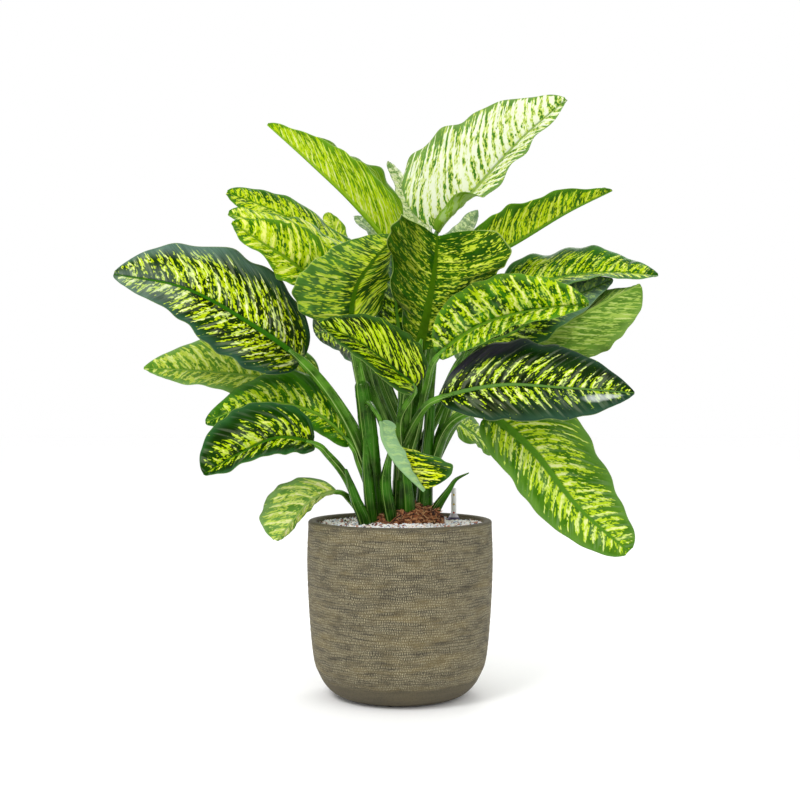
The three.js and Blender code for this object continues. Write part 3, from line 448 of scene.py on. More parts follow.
def leafSurface(name, look, underside):
    # the pattern follows the side veins: veinRun is (place along the midrib less the veins' lean, distance from it),
    # and bladeShare is (share of the length, share of the half's width, from -1 at one edge to 1 at the other)
    tone = leafLooks[look]
    material, tree = newMaterial(name)
    run = addNode(tree, "ShaderNodeUVMap", {"uv_map": "veinRun"})
    share = addNode(tree, "ShaderNodeUVMap", {"uv_map": "bladeShare"})
    place = addNode(tree, "ShaderNodeSeparateXYZ", None, {0: share})
    veins = addNode(tree, "ShaderNodeSeparateXYZ", None, {0: run})
    away = addNode(tree, "ShaderNodeMath", {"operation": "ABSOLUTE"}, {0: place.outputs[1]})
    size, width, weight = tone["size"], patternSize, patternWeight
    stretch = size * tone.get("stretch", 1)
    noise = {}
    for part, across, along, detail, seed in (
            ("grain", width["grainWidth"] * size, width["grainLength"] * stretch, 1.0, 11.0),
            ("blots", width["blotWidth"] * size, width["blotLength"] * stretch, 2.2, 0.0),
            ("streaks", width["streakWidth"] * size, width["streakLength"], 2.0, 5.7),
            ("patches", width["patch"], width["patch"], 2.0, 7.3),
            ("bends", width["bendWidth"], width["bendLength"], 2.0, 3.1),
            ("bands", width["sheenWidth"], width["sheenLength"], 1.0, 13.0)):
        spread = addNode(tree, "ShaderNodeMapping", None, {0: run, "Location": (seed, seed * 1.7, 0),
                                                           "Scale": (1 / (across * mm), 1 / (along * mm), 1)})
        noise[part] = addNode(tree, "ShaderNodeTexNoise", None,
                              {0: spread, "Scale": 1.0, "Detail": detail, "Roughness": 0.55})
    pitch = leafBuild["veinPitch"]
    turn = addNode(tree, "ShaderNodeMath", {"operation": "MULTIPLY_ADD"},
                   {0: noise["bends"], 1: weight["bends"], 2: -0.5 * weight["bends"]})
    turn = addNode(tree, "ShaderNodeMath", {"operation": "MULTIPLY_ADD"},
                   {0: veins.outputs[0], 1: 2 * math.pi / (pitch * mm), 2: turn})
    wave = addNode(tree, "ShaderNodeMath", {"operation": "COSINE"}, {0: turn})
    onVein = addNode(tree, "ShaderNodeMath", {"operation": "MULTIPLY_ADD"}, {0: wave, 1: 0.5, 2: 0.5})

    # grain, blots, streaks and patches add up, and the pale colour shows where the sum is over a level
    fringe = addNode(tree, "ShaderNodeMath", {"operation": "MULTIPLY_ADD"}, {0: noise["streaks"], 1: -0.9, 2: away})
    margin = tone["margin"] - 0.45
    soft = 0.030 if underside else 0.010
    band = 0.115 * tone["band"]
    level = 0.26 * (0.5 - tone["cover"]) + 0.45 * band
    level += 0.5 * sum(weight[part] for part in ("blots", "streaks", "patches", "grain"))
    bright = level + tone.get("core", 0.09)
    onLine = 1 - (3.0 * width["veinLine"] / pitch) ** 2
    steps = {}
    for part, source, low, high, bottom, top in (
            ("inside", fringe, margin - 0.24, margin + 0.14, 0.0, -0.20),
            ("base", place.outputs[0], 0.0, 0.07, -0.10, 0.0),
            ("tip", place.outputs[0], 0.90, 1.0, 0.0, -0.08),
            ("veinLine", onVein, onLine, 1.0, 0.0, 0.75),
            ("deep", noise["patches"], 0.35, 0.65, 0.0, 1.0),
            # painted sheen: towards the margin the ground turns to the look's sheen colour
            ("edge", away, 0.70, 1.0, 0.0, 0.55),
            # a thin pale line along the edge: partly a pale margin, partly a painted edge highlight, stronger on some
            # looks
            ("rim", away, 0.975, 0.995, 0.0, tone.get("rim", 0.25)),
            # painted sheen in bands, fading out at the margin
            ("paintedSheen", noise["bands"], 0.50, 0.68, 0.0, tone["silver"]),
            ("paintedSheenFade", away, 1.0, 0.75, 0.0, 1.0),
            ("broken", noise["streaks"], 0.35, 0.60, 0.6, 1.0),
            ("rough", noise["patches"], 0.3, 0.7, 0.50 if underside else 0.30, 0.62 if underside else 0.42)):
        steps[part] = addNode(tree, "ShaderNodeMapRange", smooth, {"Value": source, "From Min": low, "From Max": high,
                                                                   "To Min": bottom, "To Max": top})
    amount = addNode(tree, "ShaderNodeMath", {"operation": "MULTIPLY_ADD"}, {0: onVein, 1: band, 2: steps["inside"]})
    for part in ("base", "tip"):
        amount = addNode(tree, "ShaderNodeMath", {"operation": "ADD"}, {0: amount, 1: steps[part]})
    for part in ("blots", "streaks", "patches", "grain"):
        amount = addNode(tree, "ShaderNodeMath", {"operation": "MULTIPLY_ADD"},
                         {0: noise[part], 1: weight[part], 2: amount})
    fleck = addNode(tree, "ShaderNodeMath", {"operation": "MULTIPLY_ADD"},
                    {0: steps["inside"], 1: 0.30, 2: noise["grain"]})
    ridge = addNode(tree, "ShaderNodeMath", {"operation": "POWER"}, {0: onVein, 1: 4.0})
    core = addNode(tree, "ShaderNodeMath", {"operation": "MULTIPLY_ADD"}, {0: ridge, 1: 0.08, 2: amount})
    fromMiddle = addNode(tree, "ShaderNodeMath", {"operation": "ABSOLUTE"}, {0: veins.outputs[1]})
    fromRib = addNode(tree, "ShaderNodeMath", {"operation": "MULTIPLY_ADD"},
                      {0: place.outputs[0], 1: tone["ribWide"] * mm, 2: fromMiddle})
    ribEdge = 1.15 * tone["ribWide"] * mm
    for part, source, low, high, bottom, top in (
            ("striped", amount, level - soft, level + soft, 0.0, 1.0),
            ("halo", amount, level - 0.045, level - 0.010, 0.0, 0.20),
            ("flecks", fleck, 0.680, 0.705, 0.0, 0.90),
            ("lit", core, bright, bright + 0.13, 0.0, 1.0),
            # darker beside the rib: partly a dark line there, partly painted shade that makes the rib look round
            ("ribLineAndShade", fromRib, ribEdge + 0.2 * mm, ribEdge + 2.6 * mm, 0.6, 0.0),
            ("rib", fromRib, ribEdge - 0.5 * mm, ribEdge + 0.6 * mm, 1.0, 0.0)):
        steps[part] = addNode(tree, "ShaderNodeMapRange", smooth, {"Value": source, "From Min": low, "From Max": high,
                                                                   "To Min": bottom, "To Max": top})
    pale = addNode(tree, "ShaderNodeMath", {"operation": "MAXIMUM"}, {0: steps["striped"], 1: steps["flecks"]})
    line = addNode(tree, "ShaderNodeMath", {"operation": "MULTIPLY"}, {0: steps["veinLine"], 1: steps["striped"]})
    # painted sheen: a silvery reflection painted in bands between the side veins, more on the pale parts
    paintedSheen = addNode(tree, "ShaderNodeMath", {"operation": "MULTIPLY_ADD"}, {0: steps["striped"], 1: 0.5, 2: 0.25})
    for part in ("paintedSheen", "paintedSheenFade"):
        paintedSheen = addNode(tree, "ShaderNodeMath", {"operation": "MULTIPLY"}, {0: paintedSheen, 1: steps[part]})
    # colour layers, lowest first; the edge layer is a painted sheen along the margin
    layers = [(steps["deep"], tone["ground"]), (steps["edge"], tone["sheen"]), (steps["halo"], tone["streak"]),
              (pale, tone["streak"]), (steps["lit"], tone["light"]), (line, tone["light"]), (paintedSheen, "#dde8c4")]
    for lightShadeColour, along, alongReach, across, acrossReach, strength in tone.get("paintedLightAndShade", []):
        # painted sheen, painted highlight and painted shade: an oval of another colour round a place on the blade
        spot = addNode(tree, "ShaderNodeMapping", None, {0: share, "Scale": (1 / alongReach, 1 / acrossReach, 1),
                                                         "Location": (-along / alongReach, -across / acrossReach, 0)})
        spread = addNode(tree, "ShaderNodeVectorMath", {"operation": "DOT_PRODUCT"}, {0: spot, 1: spot})
        near = addNode(tree, "ShaderNodeMapRange", smooth, {"Value": spread, "To Min": strength, "To Max": 0.0})
        near = addNode(tree, "ShaderNodeMath", {"operation": "MULTIPLY"}, {0: near, 1: steps["broken"]})
        layers.append((near, lightShadeColour))
    # the dark beside the rib is partly painted shade, and the pale edge line partly a painted edge highlight
    layers += [(steps["ribLineAndShade"], tone["deep"]), (steps["rib"], tone["rib"]), (steps["rim"], "#b6cf6c")]
    if underside:
        layers.append((tone["dull"], tone.get("below", "#7f9c4c")))
    colour = tone["deep"]
    for strength, over in layers:
        colour = addNode(tree, "ShaderNodeMix", {"data_type": "RGBA"}, {0: strength, 6: colour, 7: over})

    height = addNode(tree, "ShaderNodeMath", {"operation": "MULTIPLY"}, {0: onVein, 1: -0.30})
    for part in ("blots", "streaks"):
        height = addNode(tree, "ShaderNodeMath", {"operation": "MULTIPLY_ADD"}, {0: noise[part], 1: 0.30, 2: height})
    bump = addNode(tree, "ShaderNodeBump", None, {"Strength": 0.35, "Distance": 0.6 * mm, "Height": height})
    shader = addNode(tree, "ShaderNodeBsdfPrincipled", None,
                     {"Base Color": colour, "Roughness": steps["rough"], "Normal": bump, "IOR": 1.42,
                      "Specular IOR Level": 0.15, "Specular Tint": "#dcf0a0"})
    glow = addNode(tree, "ShaderNodeBsdfTranslucent", None, {"Color": colour, "Normal": bump})
    both = addNode(tree, "ShaderNodeMixShader", None, {0: tone["through"], 1: shader, 2: glow})
    addNode(tree, "ShaderNodeOutputMaterial", None, {"Surface": both})
    return material


def stalkSurface(name, midGreen, darkGreen, pale, glossy, shadeFrom, shadeTo):
    # fleshy green stalk, smooth and shiny, with pale lengthwise streaks, flecks and thin pale edges
    material, tree = newMaterial(name)
    run = addNode(tree, "ShaderNodeUVMap", {"uv_map": "veinRun"})
    share = addNode(tree, "ShaderNodeUVMap", {"uv_map": "bladeShare"})
    place = addNode(tree, "ShaderNodeSeparateXYZ", None, {0: share})
    coords = addNode(tree, "ShaderNodeTexCoord").outputs["Object"]
    lines = addNode(tree, "ShaderNodeMapping", None, {0: run, "Scale": (1 / (60 * mm), 1 / (1.5 * mm), 1)})
    streaks = addNode(tree, "ShaderNodeTexNoise", None, {0: lines, "Scale": 1.0, "Detail": 3.0})
    clouds = addNode(tree, "ShaderNodeTexNoise", None, {0: coords, "Scale": 1 / (26 * mm), "Detail": 3.0})
    flecks = addNode(tree, "ShaderNodeTexNoise", None, {0: coords, "Scale": 1 / (2.6 * mm), "Detail": 2.0})
    around = addNode(tree, "ShaderNodeMath", {"operation": "PINGPONG"}, {0: place.outputs[1], 1: 0.5})
    fromEdge = addNode(tree, "ShaderNodeMath", {"operation": "SUBTRACT"}, {0: around, 1: 0.14})
    nearEdge = addNode(tree, "ShaderNodeMath", {"operation": "ABSOLUTE"}, {0: fromEdge})
    colour = darkGreen
    # layers: clouds of the two greens, painted shade that darkens towards the plant's base between shadeFrom and
    # shadeTo, streaks, flecks and pale edges
    for source, low, high, bottom, top, over in (
            (clouds, 0.30, 0.58, 0.0, 1.0, midGreen), (place.outputs[0], shadeFrom, shadeTo, 0.0, 0.8, darkGreen),
            (streaks, 0.50, 0.75, 0.0, 0.40, pale), (flecks, 0.69, 0.74, 0.0, 0.5, pale),
            (nearEdge, 0.004, 0.014, 0.8, 0.0, pale)):
        strength = addNode(tree, "ShaderNodeMapRange", None, {"Value": source, "From Min": low, "From Max": high,
                                                              "To Min": bottom, "To Max": top})
        colour = addNode(tree, "ShaderNodeMix", {"data_type": "RGBA"}, {0: strength, 6: colour, 7: over})
    bump = addNode(tree, "ShaderNodeBump", None, {"Strength": 0.3, "Distance": 0.4 * mm, "Height": streaks})
    shader = addNode(tree, "ShaderNodeBsdfPrincipled", None,
                     {"Base Color": colour, "Roughness": glossy, "Normal": bump, "IOR": 1.45,
                      "Specular IOR Level": 0.30, "Specular Tint": "#d4ecb0"})
    addNode(tree, "ShaderNodeOutputMaterial", None, {"Surface": shader})
    return material


# the last two numbers set where the painted shade darkens each towards the plant's base
leafStalkGreen = stalkSurface("leafStalk", "#548a22", "#143802", "#a6c070", 0.24, 0.30, 0.95)
caneGreen = stalkSurface("caneSkin", "#2c6408", "#0a2800", "#8cac58", 0.20, 0.60, 0.0)


def bentHalf(v, curl, fold):
    # how far out and how far down each column lies, from the blade's turn between the columns
    between = (v[1:] + v[:-1]) / 2
    turn = (between - 0.5) * curl + fold * np.clip((between - 0.30) / 0.35, 0, 1)
    still = np.zeros((len(turn), 1))
    out = np.concatenate([still, np.cumsum(np.cos(turn) * np.diff(v), 1)], 1)
    down = np.concatenate([still, np.cumsum(np.sin(turn) * np.diff(v), 1)], 1)
    return out, down


def leafPoints(leaf, number):
    # the blade as rows from base to tip and columns from right edge to left edge, in mm
    build = leafBuild
    path = np.asarray(leaf["path"], float)
    split = leaf["stalk"] / (len(path) - 1)
    rib = curvePoints(path, split + (1 - split) * np.linspace(0, 1, 25))
    even = np.linspace(0, 1, build["rows"] + 1)
    u = np.clip(0.55 * even + 0.45 * (0.5 - 0.5 * np.cos(math.pi * even)), 0.004, 0.996)
    centre = evenCurve(rib, u)
    along = unit(evenCurve(rib, np.clip(u + 0.02, 0, 1)) - evenCurve(rib, np.clip(u - 0.02, 0, 1)))
    ribLength = runLengths(evenCurve(rib, np.linspace(0, 1, 201)))[-1]
    fall = leaf["shape"][1]
    amp, count, phase = leaf["wave"]
    half = build["halfColumns"]
    v = (np.arange(half + 1) / half) ** 1.3
    halves = {}
    wild = np.random.default_rng(100 + number)
    for side, reaches in ((1, leaf["right"]), (-1, leaf["left"])):
        rise = leaf["shape"][0] if side > 0 else leaf.get("leftRise", leaf["shape"][0])
        widest = rise / (rise + fall)
        share = (u / widest) ** rise * ((1 - u) / (1 - widest)) ** fall
        base, tip = np.asarray(reaches, float)
        mix = np.clip((u - 0.12) / 0.76, 0, 1)[:, None]
        reach = base[:3] * (1 - mix) + tip[:3] * mix
        reach = reach - along * np.sum(reach * along, 1, keepdims=True) * 0.6
        curl = np.radians(base[3] * (1 - mix[:, 0]) + tip[3] * mix[:, 0])[:, None]
        jitter = sum(wild.uniform(0.3, 1) * np.sin(2 * math.pi * (k * u + wild.uniform())) for k in (2, 3.4, 5.3, 7.7))
        outline = 1 + build["outlineJitter"] * leaf.get("ruffle", 1) * jitter * np.clip(share * 2, 0, 1)
        width = (np.linalg.norm(reach, axis=1) * share * outline)[:, None]
        outward = unit(reach)[:, None]
        up = unit(np.cross(along, unit(reach)) * side)[:, None]
        fold = sum((math.radians(degrees) * np.clip(1 - ((u - middle) / reached) ** 2, 0, 1)
                    for where, middle, reached, degrees in leaf.get("folds", []) if where == side), 0 * u)
        flat, drop = bentHalf(v, curl, fold[:, None])
        ripple = amp * np.sin(2 * math.pi * (count * u + phase * (1 if side > 0 else 0.7))) * np.minimum(1, 1.5 * share)
        ruffle = sum(wild.uniform(0.3, 1) * np.sin(2 * math.pi * (k * u + wild.uniform())) for k in (1.6, 2.7, 4.3, 6.1))
        ruffle = build["ruffle"] * leaf.get("ruffle", 1) * ruffle * np.clip(width[:, 0] / 70, 0, 1.3)
        away = v[None, :] * width
        veins = leaf.get("veins", (build["veinLean"], build["veinBend"]))
        lean, bend = veins if side > 0 else leaf.get("leftVeins", veins)
        leanRun = (u * ribLength)[:, None] - lean * away - bend * away ** 2
        relief = build["veinRelief"] * np.cos(2 * math.pi * leanRun / build["veinPitch"] + 1.2)
        relief = relief * np.clip(away / 9, 0, 1) * np.clip((1 - v[None, :]) * 6, 0, 1)
        taper = (1.12 - u)[:, None]
        groove = build["grooveDepth"] * taper * np.exp(-(away / (5.0 * taper)) ** 2)
        lift = (ripple[:, None] + ruffle[:, None] * v[None, :]) * v[None, :] ** 2 - drop * width - relief - groove
        points = centre[:, None] + outward * (flat * width)[..., None] + up * lift[..., None]
        runMap = np.stack([leanRun + 517.0 * number + (90.0 if side > 0 else 0.0), away * side], -1)
        shareMap = np.stack(np.broadcast_arrays(u[:, None], side * v[None, :]), -1)
        halves[side] = (points, runMap * mm, shareMap, away)
    right, left = halves[1], halves[-1]
    merged = [np.concatenate([right[k][:, ::-1], left[k][:, 1:]], 1) for k in range(4)]
    merged[0][:, half] = (right[0][:, 0] + left[0][:, 0]) / 2
    return merged, u, split


def growLeaf(leaf):
    number = int(leaf["node"][-2:])
    build = leafBuild
    (points, runMap, shareMap, away), u, split = leafPoints(leaf, number)
    blade = sheet("blade", points * mm, {"veinRun": runMap, "bladeShare": shareMap})
    blade.data.materials.append(leafSurfaces[leaf["look"], False])
    blade.data.materials.append(leafSurfaces[leaf["look"], True])
    before = len(blade.data.vertices)
    flat = np.empty(before * 3)
    blade.data.vertices.foreach_get("co", flat)
    normal = np.empty(before * 3)
    blade.data.vertices.foreach_get("normal", normal)
    wall = blade.modifiers.new("thickness", "SOLIDIFY")
    wall.thickness = build["thickness"] * mm
    wall.offset = -1
    wall.material_offset = 1
    wall.material_offset_rim = 0
    bpy.ops.object.modifier_apply(modifier="thickness")
    columns = points.shape[1]
    whole = np.empty(len(blade.data.vertices) * 3)
    blade.data.vertices.foreach_get("co", whole)
    whole = whole.reshape(-1, 3)
    row, column = np.divmod(np.arange(before), columns)
    taper = np.clip(1.12 - u[row], 0.12, 1)
    ribHalf = 0.9 * leafLooks[leaf["look"]]["ribWide"]
    depth = build["ribDepth"] * (ribHalf / 3) ** 0.7
    ridge = depth * taper * np.exp(-(away[row, column] / (ribHalf * taper)) ** 2) * mm
    whole[before:2 * before] -= normal.reshape(-1, 3) * ridge[:, None]
    blade.data.vertices.foreach_set("co", whole.ravel())
    blade.data.update()
    bpy.ops.object.shade_smooth()

    girth = leaf.get("girth", build["girth"])
    steps = np.linspace(0, 1, build["stalkSteps"])
    lower = curvePoints(leaf["path"], split * np.linspace(0, 1, 11))
    into = curvePoints(leaf["path"], [split + (1 - split) * 0.09])
    centre = evenCurve(np.vstack([lower, into]), steps)
    radii = girth[0] + (girth[1] - girth[0]) * steps
    radii = radii - np.clip((steps - 0.9) / 0.1, 0, 1) * 0.6 * girth[1]
    total = runLengths(centre)[-1] * mm
    middle = build["halfColumns"]
    upper = unit(np.cross(points[8, middle] - points[4, middle], points[8, 0] - points[8, -1]))

    def channel(angle, run):
        # two thin edges beside a groove on the upper side, stronger towards the cane
        turn = np.abs((angle + math.pi) % (2 * math.pi) - math.pi)
        strength = np.clip((run / total - 0.12) / 0.35, 0, 1) * np.clip((1 - run / total) / 0.12, 0.25, 1)
        edge = np.exp(-((turn - 0.88) / 0.16) ** 2)
        groove = np.exp(-(turn / 0.62) ** 4)
        return 1 + build["wing"] * strength * edge - (0.10 + 0.34 * strength) * groove

    stalk = sweep("stalk", centre[::-1] * mm, radii[::-1] * mm, build["stalkSides"], channel, upper)
    stalk.data.materials.append(leafStalkGreen)
    whole = joined([blade, stalk], f"foliage{number:02d}")
    return finish(whole, [leaf["node"]])


leafSurfaces = {}
for look in sorted({leaf["look"] for leaf in leaves}):
    leafSurfaces[look, False] = leafSurface(f"leafTop_{look}", look, False)
    leafSurfaces[look, True] = leafSurface(f"leafBelow_{look}", look, True)
for leaf in leaves:
    growLeaf(leaf)
print("leaves", len(leaves))

# canes: the thick green stems, with rings where old leaves were, and old sheaths that clasp them

canes = {
    "stem_left": dict(points=[(-40, 0, 262), (-43, -5, 325), (-49, -12, 400), (-56, -20, 470), (-66, -28, 540)],
                      radii=[14, 16, 16, 16, 13],
                      sheaths=[([(-42, -12, 268), (-50, -22, 325), (-56, -28, 390), (-60, -28, 450)], [8, 10, 9, 3])]),
    "stem_shoot": dict(points=[(-54, -26, 265), (-62, -32, 305), (-76, -40, 340), (-92, -47, 390)],
                       radii=[10, 11, 8, 2.5], sheaths=[]),
    "stem_centre": dict(points=[(0, 0, 262), (2, -5, 330), (4, -10, 430), (8, -16, 520), (12, -24, 575)],
                        radii=[15, 16, 13, 11, 8],
                        sheaths=[([(-6, -16, 268), (-18, -34, 322), (-24, -40, 372), (-14, -30, 430)], [9, 11, 9, 3]),
                                 ([(16, -12, 268), (16, -24, 325), (10, -28, 380), (0, -22, 425)], [8, 10, 8, 3])]),
    "stem_right": dict(points=[(38, 12, 262), (42, 8, 330), (46, 2, 400), (50, -6, 450), (54, -14, 500)],
                       radii=[13, 15, 12, 10, 7],
                       sheaths=[([(44, 8, 270), (62, -4, 318), (84, -12, 352), (96, -18, 370), (118, -24, 382)],
                                 [9, 10, 7, 4, 1])]),
    "stem_back": dict(points=[(18, 56, 262), (20, 60, 340), (24, 62, 440), (32, 62, 540), (42, 62, 620)],
                      radii=[13, 14, 12, 10, 7], sheaths=[]),
}
caneBuild = dict(sides=28, steps=110, ringPitch=38, ringHeight=0.03, ringWidth=2.6)


def growCane(node, cane):
    steps = np.linspace(0, 1, caneBuild["steps"])
    pieces = []
    for points, radii in [(cane["points"], cane["radii"])] + cane["sheaths"]:
        centre = evenCurve(points, steps)
        girth = np.interp(steps * (len(radii) - 1), range(len(radii)), radii)
        run = runLengths(centre)
        ring = np.cos(math.pi * (run + 11) / caneBuild["ringPitch"]) ** 2
        ring = np.exp(-(1 - ring) * (caneBuild["ringPitch"] / caneBuild["ringWidth"]) ** 2 / 9.87)
        if points is cane["points"]:
            girth = girth * (1 + caneBuild["ringHeight"] * ring)
        ends = np.clip(np.minimum(run, run[-1] - run) / (0.8 * girth), 0, 1)
        girth = girth * np.sqrt(1 - (1 - ends) ** 2 * 0.96)
        piece = sweep("cane", centre * mm, girth * mm, caneBuild["sides"],
                      lambda angle, place: 1 + 0.03 * np.cos(2 * angle + place * 12) + 0.008 * np.cos(7 * angle))
        piece.data.materials.append(caneGreen)
        pieces.append(piece)
    names = dict(stem_left="caneLeft", stem_shoot="caneShoot", stem_centre="caneCentre",
                 stem_right="caneRight", stem_back="caneBack")
    return finish(joined(pieces, names[node]), [node])


for node, cane in canes.items():
    growCane(node, cane)
print("canes", len(canes))

# pot: cast fibre cement in rough layers, pressed with rows of small ticks, so it is dull and grainy

pot = dict(wall=14, floor=16, rimRound=4, segments=360,
           wallPoints=[(86, 0), (108, 4), (126, 17), (140, 39), (149, 66), (156, 135), (160, 225), (158, 296)],
           layerDepth=0.45, footBand=34, tickPitch=2.7, rowPitch=4.3)


def potProfile():
    outer = evenCurve(pot["wallPoints"], np.linspace(0, 1, 170))
    top = outer[-1]
    bend = np.linspace(0, math.pi / 2, 7)[1:]
    round_ = pot["rimRound"]
    outerLip = np.stack([top[0] - round_ + round_ * np.cos(bend), top[1] + round_ * np.sin(bend)], -1)
    innerEdge = top[0] - pot["wall"]
    innerLip = np.stack([innerEdge + round_ - round_ * np.sin(bend), top[1] + round_ * np.cos(bend)], -1)
    heights = np.linspace(top[1] - 2, pot["floor"] + 10, 40)
    innerWall = np.stack([np.interp(heights, outer[:, 1], outer[:, 0]) - pot["wall"], heights], -1)
    foot = np.stack([np.linspace(0.02, 84, 8), np.zeros(8)], -1)
    inside = np.stack([np.linspace(innerWall[-1, 0] - 8, 0.02, 8), np.full(8, pot["floor"])], -1)
    return np.vstack([foot, outer, outerLip, innerLip, innerWall, inside])


def makePot():
    random = np.random.default_rng(11)
    profile = potProfile()
    angle = np.linspace(0, 2 * math.pi, pot["segments"] + 1)
    runs = runLengths(profile)
    height, radius = profile[:, 1][:, None], profile[:, 0][:, None]
    outerSide = (np.arange(len(profile)) >= 8) & (np.arange(len(profile)) < 178)
    middle = np.clip((height - pot["footBand"] + 8) / 10, 0, 1) * np.clip((295 - height) / 4, 0, 1)
    middle = middle * outerSide[:, None]
    relief = np.zeros((len(profile), len(angle)))
    for k in range(46):
        turns = random.integers(0, 4)
        pitch = random.uniform(4.0, 16.0)
        drift = random.uniform(0.4, 2.2) * np.sin(turns * angle + random.uniform(0, 6.3))[None, :]
        wave = np.sin(2 * math.pi * (height + drift) / pitch + random.uniform(0, 6.3))
        patch = 0.6 + 0.4 * np.sin(random.integers(1, 6) * angle + random.uniform(0, 6.3))[None, :]
        relief += wave * patch * random.uniform(0.3, 1) / 9
    relief = relief * pot["layerDepth"] * middle - 0.35 * middle
    points = np.stack([(radius + relief) * np.cos(angle), (radius + relief) * np.sin(angle),
                       np.broadcast_to(height, relief.shape)], -1)
    around = np.broadcast_to(angle[None, :] * 155, relief.shape)
    up = np.broadcast_to(runs[:, None], relief.shape)
    piece = closeUp(sheet("pot", points * mm, {"wallRun": np.stack([around, up], -1) * mm}))
    piece.name = piece.data.name = "cementPot"
    piece.data.materials.append(cementSurface())
    return finish(piece, ["pot"])


def cementSurface():
    material, tree = newMaterial("fibreCement")
    wallMap = addNode(tree, "ShaderNodeUVMap", {"uv_map": "wallRun"})
    coords = addNode(tree, "ShaderNodeTexCoord").outputs["Object"]
    spot = addNode(tree, "ShaderNodeSeparateXYZ", None, {0: wallMap})
    place = addNode(tree, "ShaderNodeSeparateXYZ", None, {0: coords})
    noise = {}
    for part, source, across, depth, rise, detail, seed in (
            ("layers", coords, 50, 50, 6, 4.0, 0.0), ("broad", coords, 100, 100, 20, 4.0, 4.0),
            ("grain", coords, 2.2, 2.2, 1.4, 3.0, 9.0), ("sway", wallMap, 45, 30, 1000, 2.0, 3.0),
            ("jitter", wallMap, 6, 6, 1000, 1.0, 2.0), ("worn", wallMap, 30, 12, 1000, 3.0, 6.0)):
        spread = addNode(tree, "ShaderNodeMapping", None,
                         {0: source, "Location": (seed, seed, seed),
                          "Scale": (1 / (across * mm), 1 / (depth * mm), 1 / (rise * mm))})
        noise[part] = addNode(tree, "ShaderNodeTexNoise", None,
                              {0: spread, "Scale": 1.0, "Detail": detail, "Roughness": 0.6})

    # ticks stand side by side in rows that sway a little, each row shifted against the next
    row = addNode(tree, "ShaderNodeMath", {"operation": "DIVIDE"}, {0: spot.outputs[1], 1: pot["rowPitch"] * mm})
    row = addNode(tree, "ShaderNodeMath", {"operation": "MULTIPLY_ADD"}, {0: noise["sway"], 1: 3.0, 2: row})
    rowNumber = addNode(tree, "ShaderNodeMath", {"operation": "FLOOR"}, {0: row})
    shift = addNode(tree, "ShaderNodeTexWhiteNoise", {"noise_dimensions": "1D"}, {"W": rowNumber})
    turn = addNode(tree, "ShaderNodeMath", {"operation": "DIVIDE"}, {0: spot.outputs[0], 1: pot["tickPitch"] * mm})
    turn = addNode(tree, "ShaderNodeMath", {"operation": "ADD"}, {0: turn, 1: shift})
    turn = addNode(tree, "ShaderNodeMath", {"operation": "MULTIPLY_ADD"}, {0: noise["jitter"], 1: 1.6, 2: turn})
    turn = addNode(tree, "ShaderNodeMath", {"operation": "MULTIPLY"}, {0: turn, 1: 2 * math.pi})
    tick = addNode(tree, "ShaderNodeMath", {"operation": "COSINE"}, {0: turn})
    inRow = addNode(tree, "ShaderNodeMath", {"operation": "FRACT"}, {0: row})
    inRow = addNode(tree, "ShaderNodeMath", {"operation": "SUBTRACT"}, {0: inRow, 1: 0.5})
    inRow = addNode(tree, "ShaderNodeMath", {"operation": "ABSOLUTE"}, {0: inRow})
    steps = {}
    for part, source, low, high, bottom, top in (
            ("tick", tick, -0.3, 0.5, 0.0, 1.0), ("inRow", inRow, 0.30, 0.48, 1.0, 0.0),
            ("worn", noise["worn"], 0.30, 0.60, 0.25, 1.0), ("layers", noise["layers"], 0.36, 0.64, 0.0, 1.0),
            ("broad", noise["broad"], 0.46, 0.68, 0.0, 0.55), ("grain", noise["grain"], 0.40, 0.70, 0.0, 0.55),
            ("aboveFoot", place.outputs[2], 0.026, 0.042, 0.0, 1.0),
            ("belowRim", place.outputs[2], 0.2955, 0.2985, 1.0, 0.0)):
        steps[part] = addNode(tree, "ShaderNodeMapRange", smooth, {"Value": source, "From Min": low, "From Max": high,
                                                                   "To Min": bottom, "To Max": top})
    pressed = addNode(tree, "ShaderNodeMath", {"operation": "MULTIPLY"}, {0: steps["aboveFoot"], 1: steps["belowRim"]})
    dash = pressed
    for part in ("tick", "inRow", "worn"):
        dash = addNode(tree, "ShaderNodeMath", {"operation": "MULTIPLY"}, {0: dash, 1: steps[part]})
    dashShare = addNode(tree, "ShaderNodeMath", {"operation": "MULTIPLY"}, {0: dash, 1: 0.85})
    plain = addNode(tree, "ShaderNodeMapRange", smooth, {"Value": pressed, "To Min": 0.8, "To Max": 0.0})
    colour = "#2c261a"
    for strength, over in ((steps["layers"], "#5e553c"), (steps["broad"], "#76663a"), (dashShare, "#b4ab8a"),
                           (plain, "#5a5340"), (steps["grain"], "#2e291d")):
        colour = addNode(tree, "ShaderNodeMix", {"data_type": "RGBA"}, {0: strength, 6: colour, 7: over})
    height = addNode(tree, "ShaderNodeMath", {"operation": "MULTIPLY"}, {0: dash, 1: 0.8})
    for part, share in (("layers", 0.7), ("grain", 0.35)):
        height = addNode(tree, "ShaderNodeMath", {"operation": "MULTIPLY_ADD"}, {0: noise[part], 1: share, 2: height})
    bump = addNode(tree, "ShaderNodeBump", None, {"Strength": 0.9, "Distance": 0.9 * mm, "Height": height})
    shader = addNode(tree, "ShaderNodeBsdfPrincipled", None,
                     {"Base Color": colour, "Roughness": 0.85, "IOR": 1.5, "Normal": bump})
    addNode(tree, "ShaderNodeOutputMaterial", None, {"Surface": shader})
    return material


makePot()
print("pot")

# granules: small washed stones of mixed volcanic kinds, dusty and dull


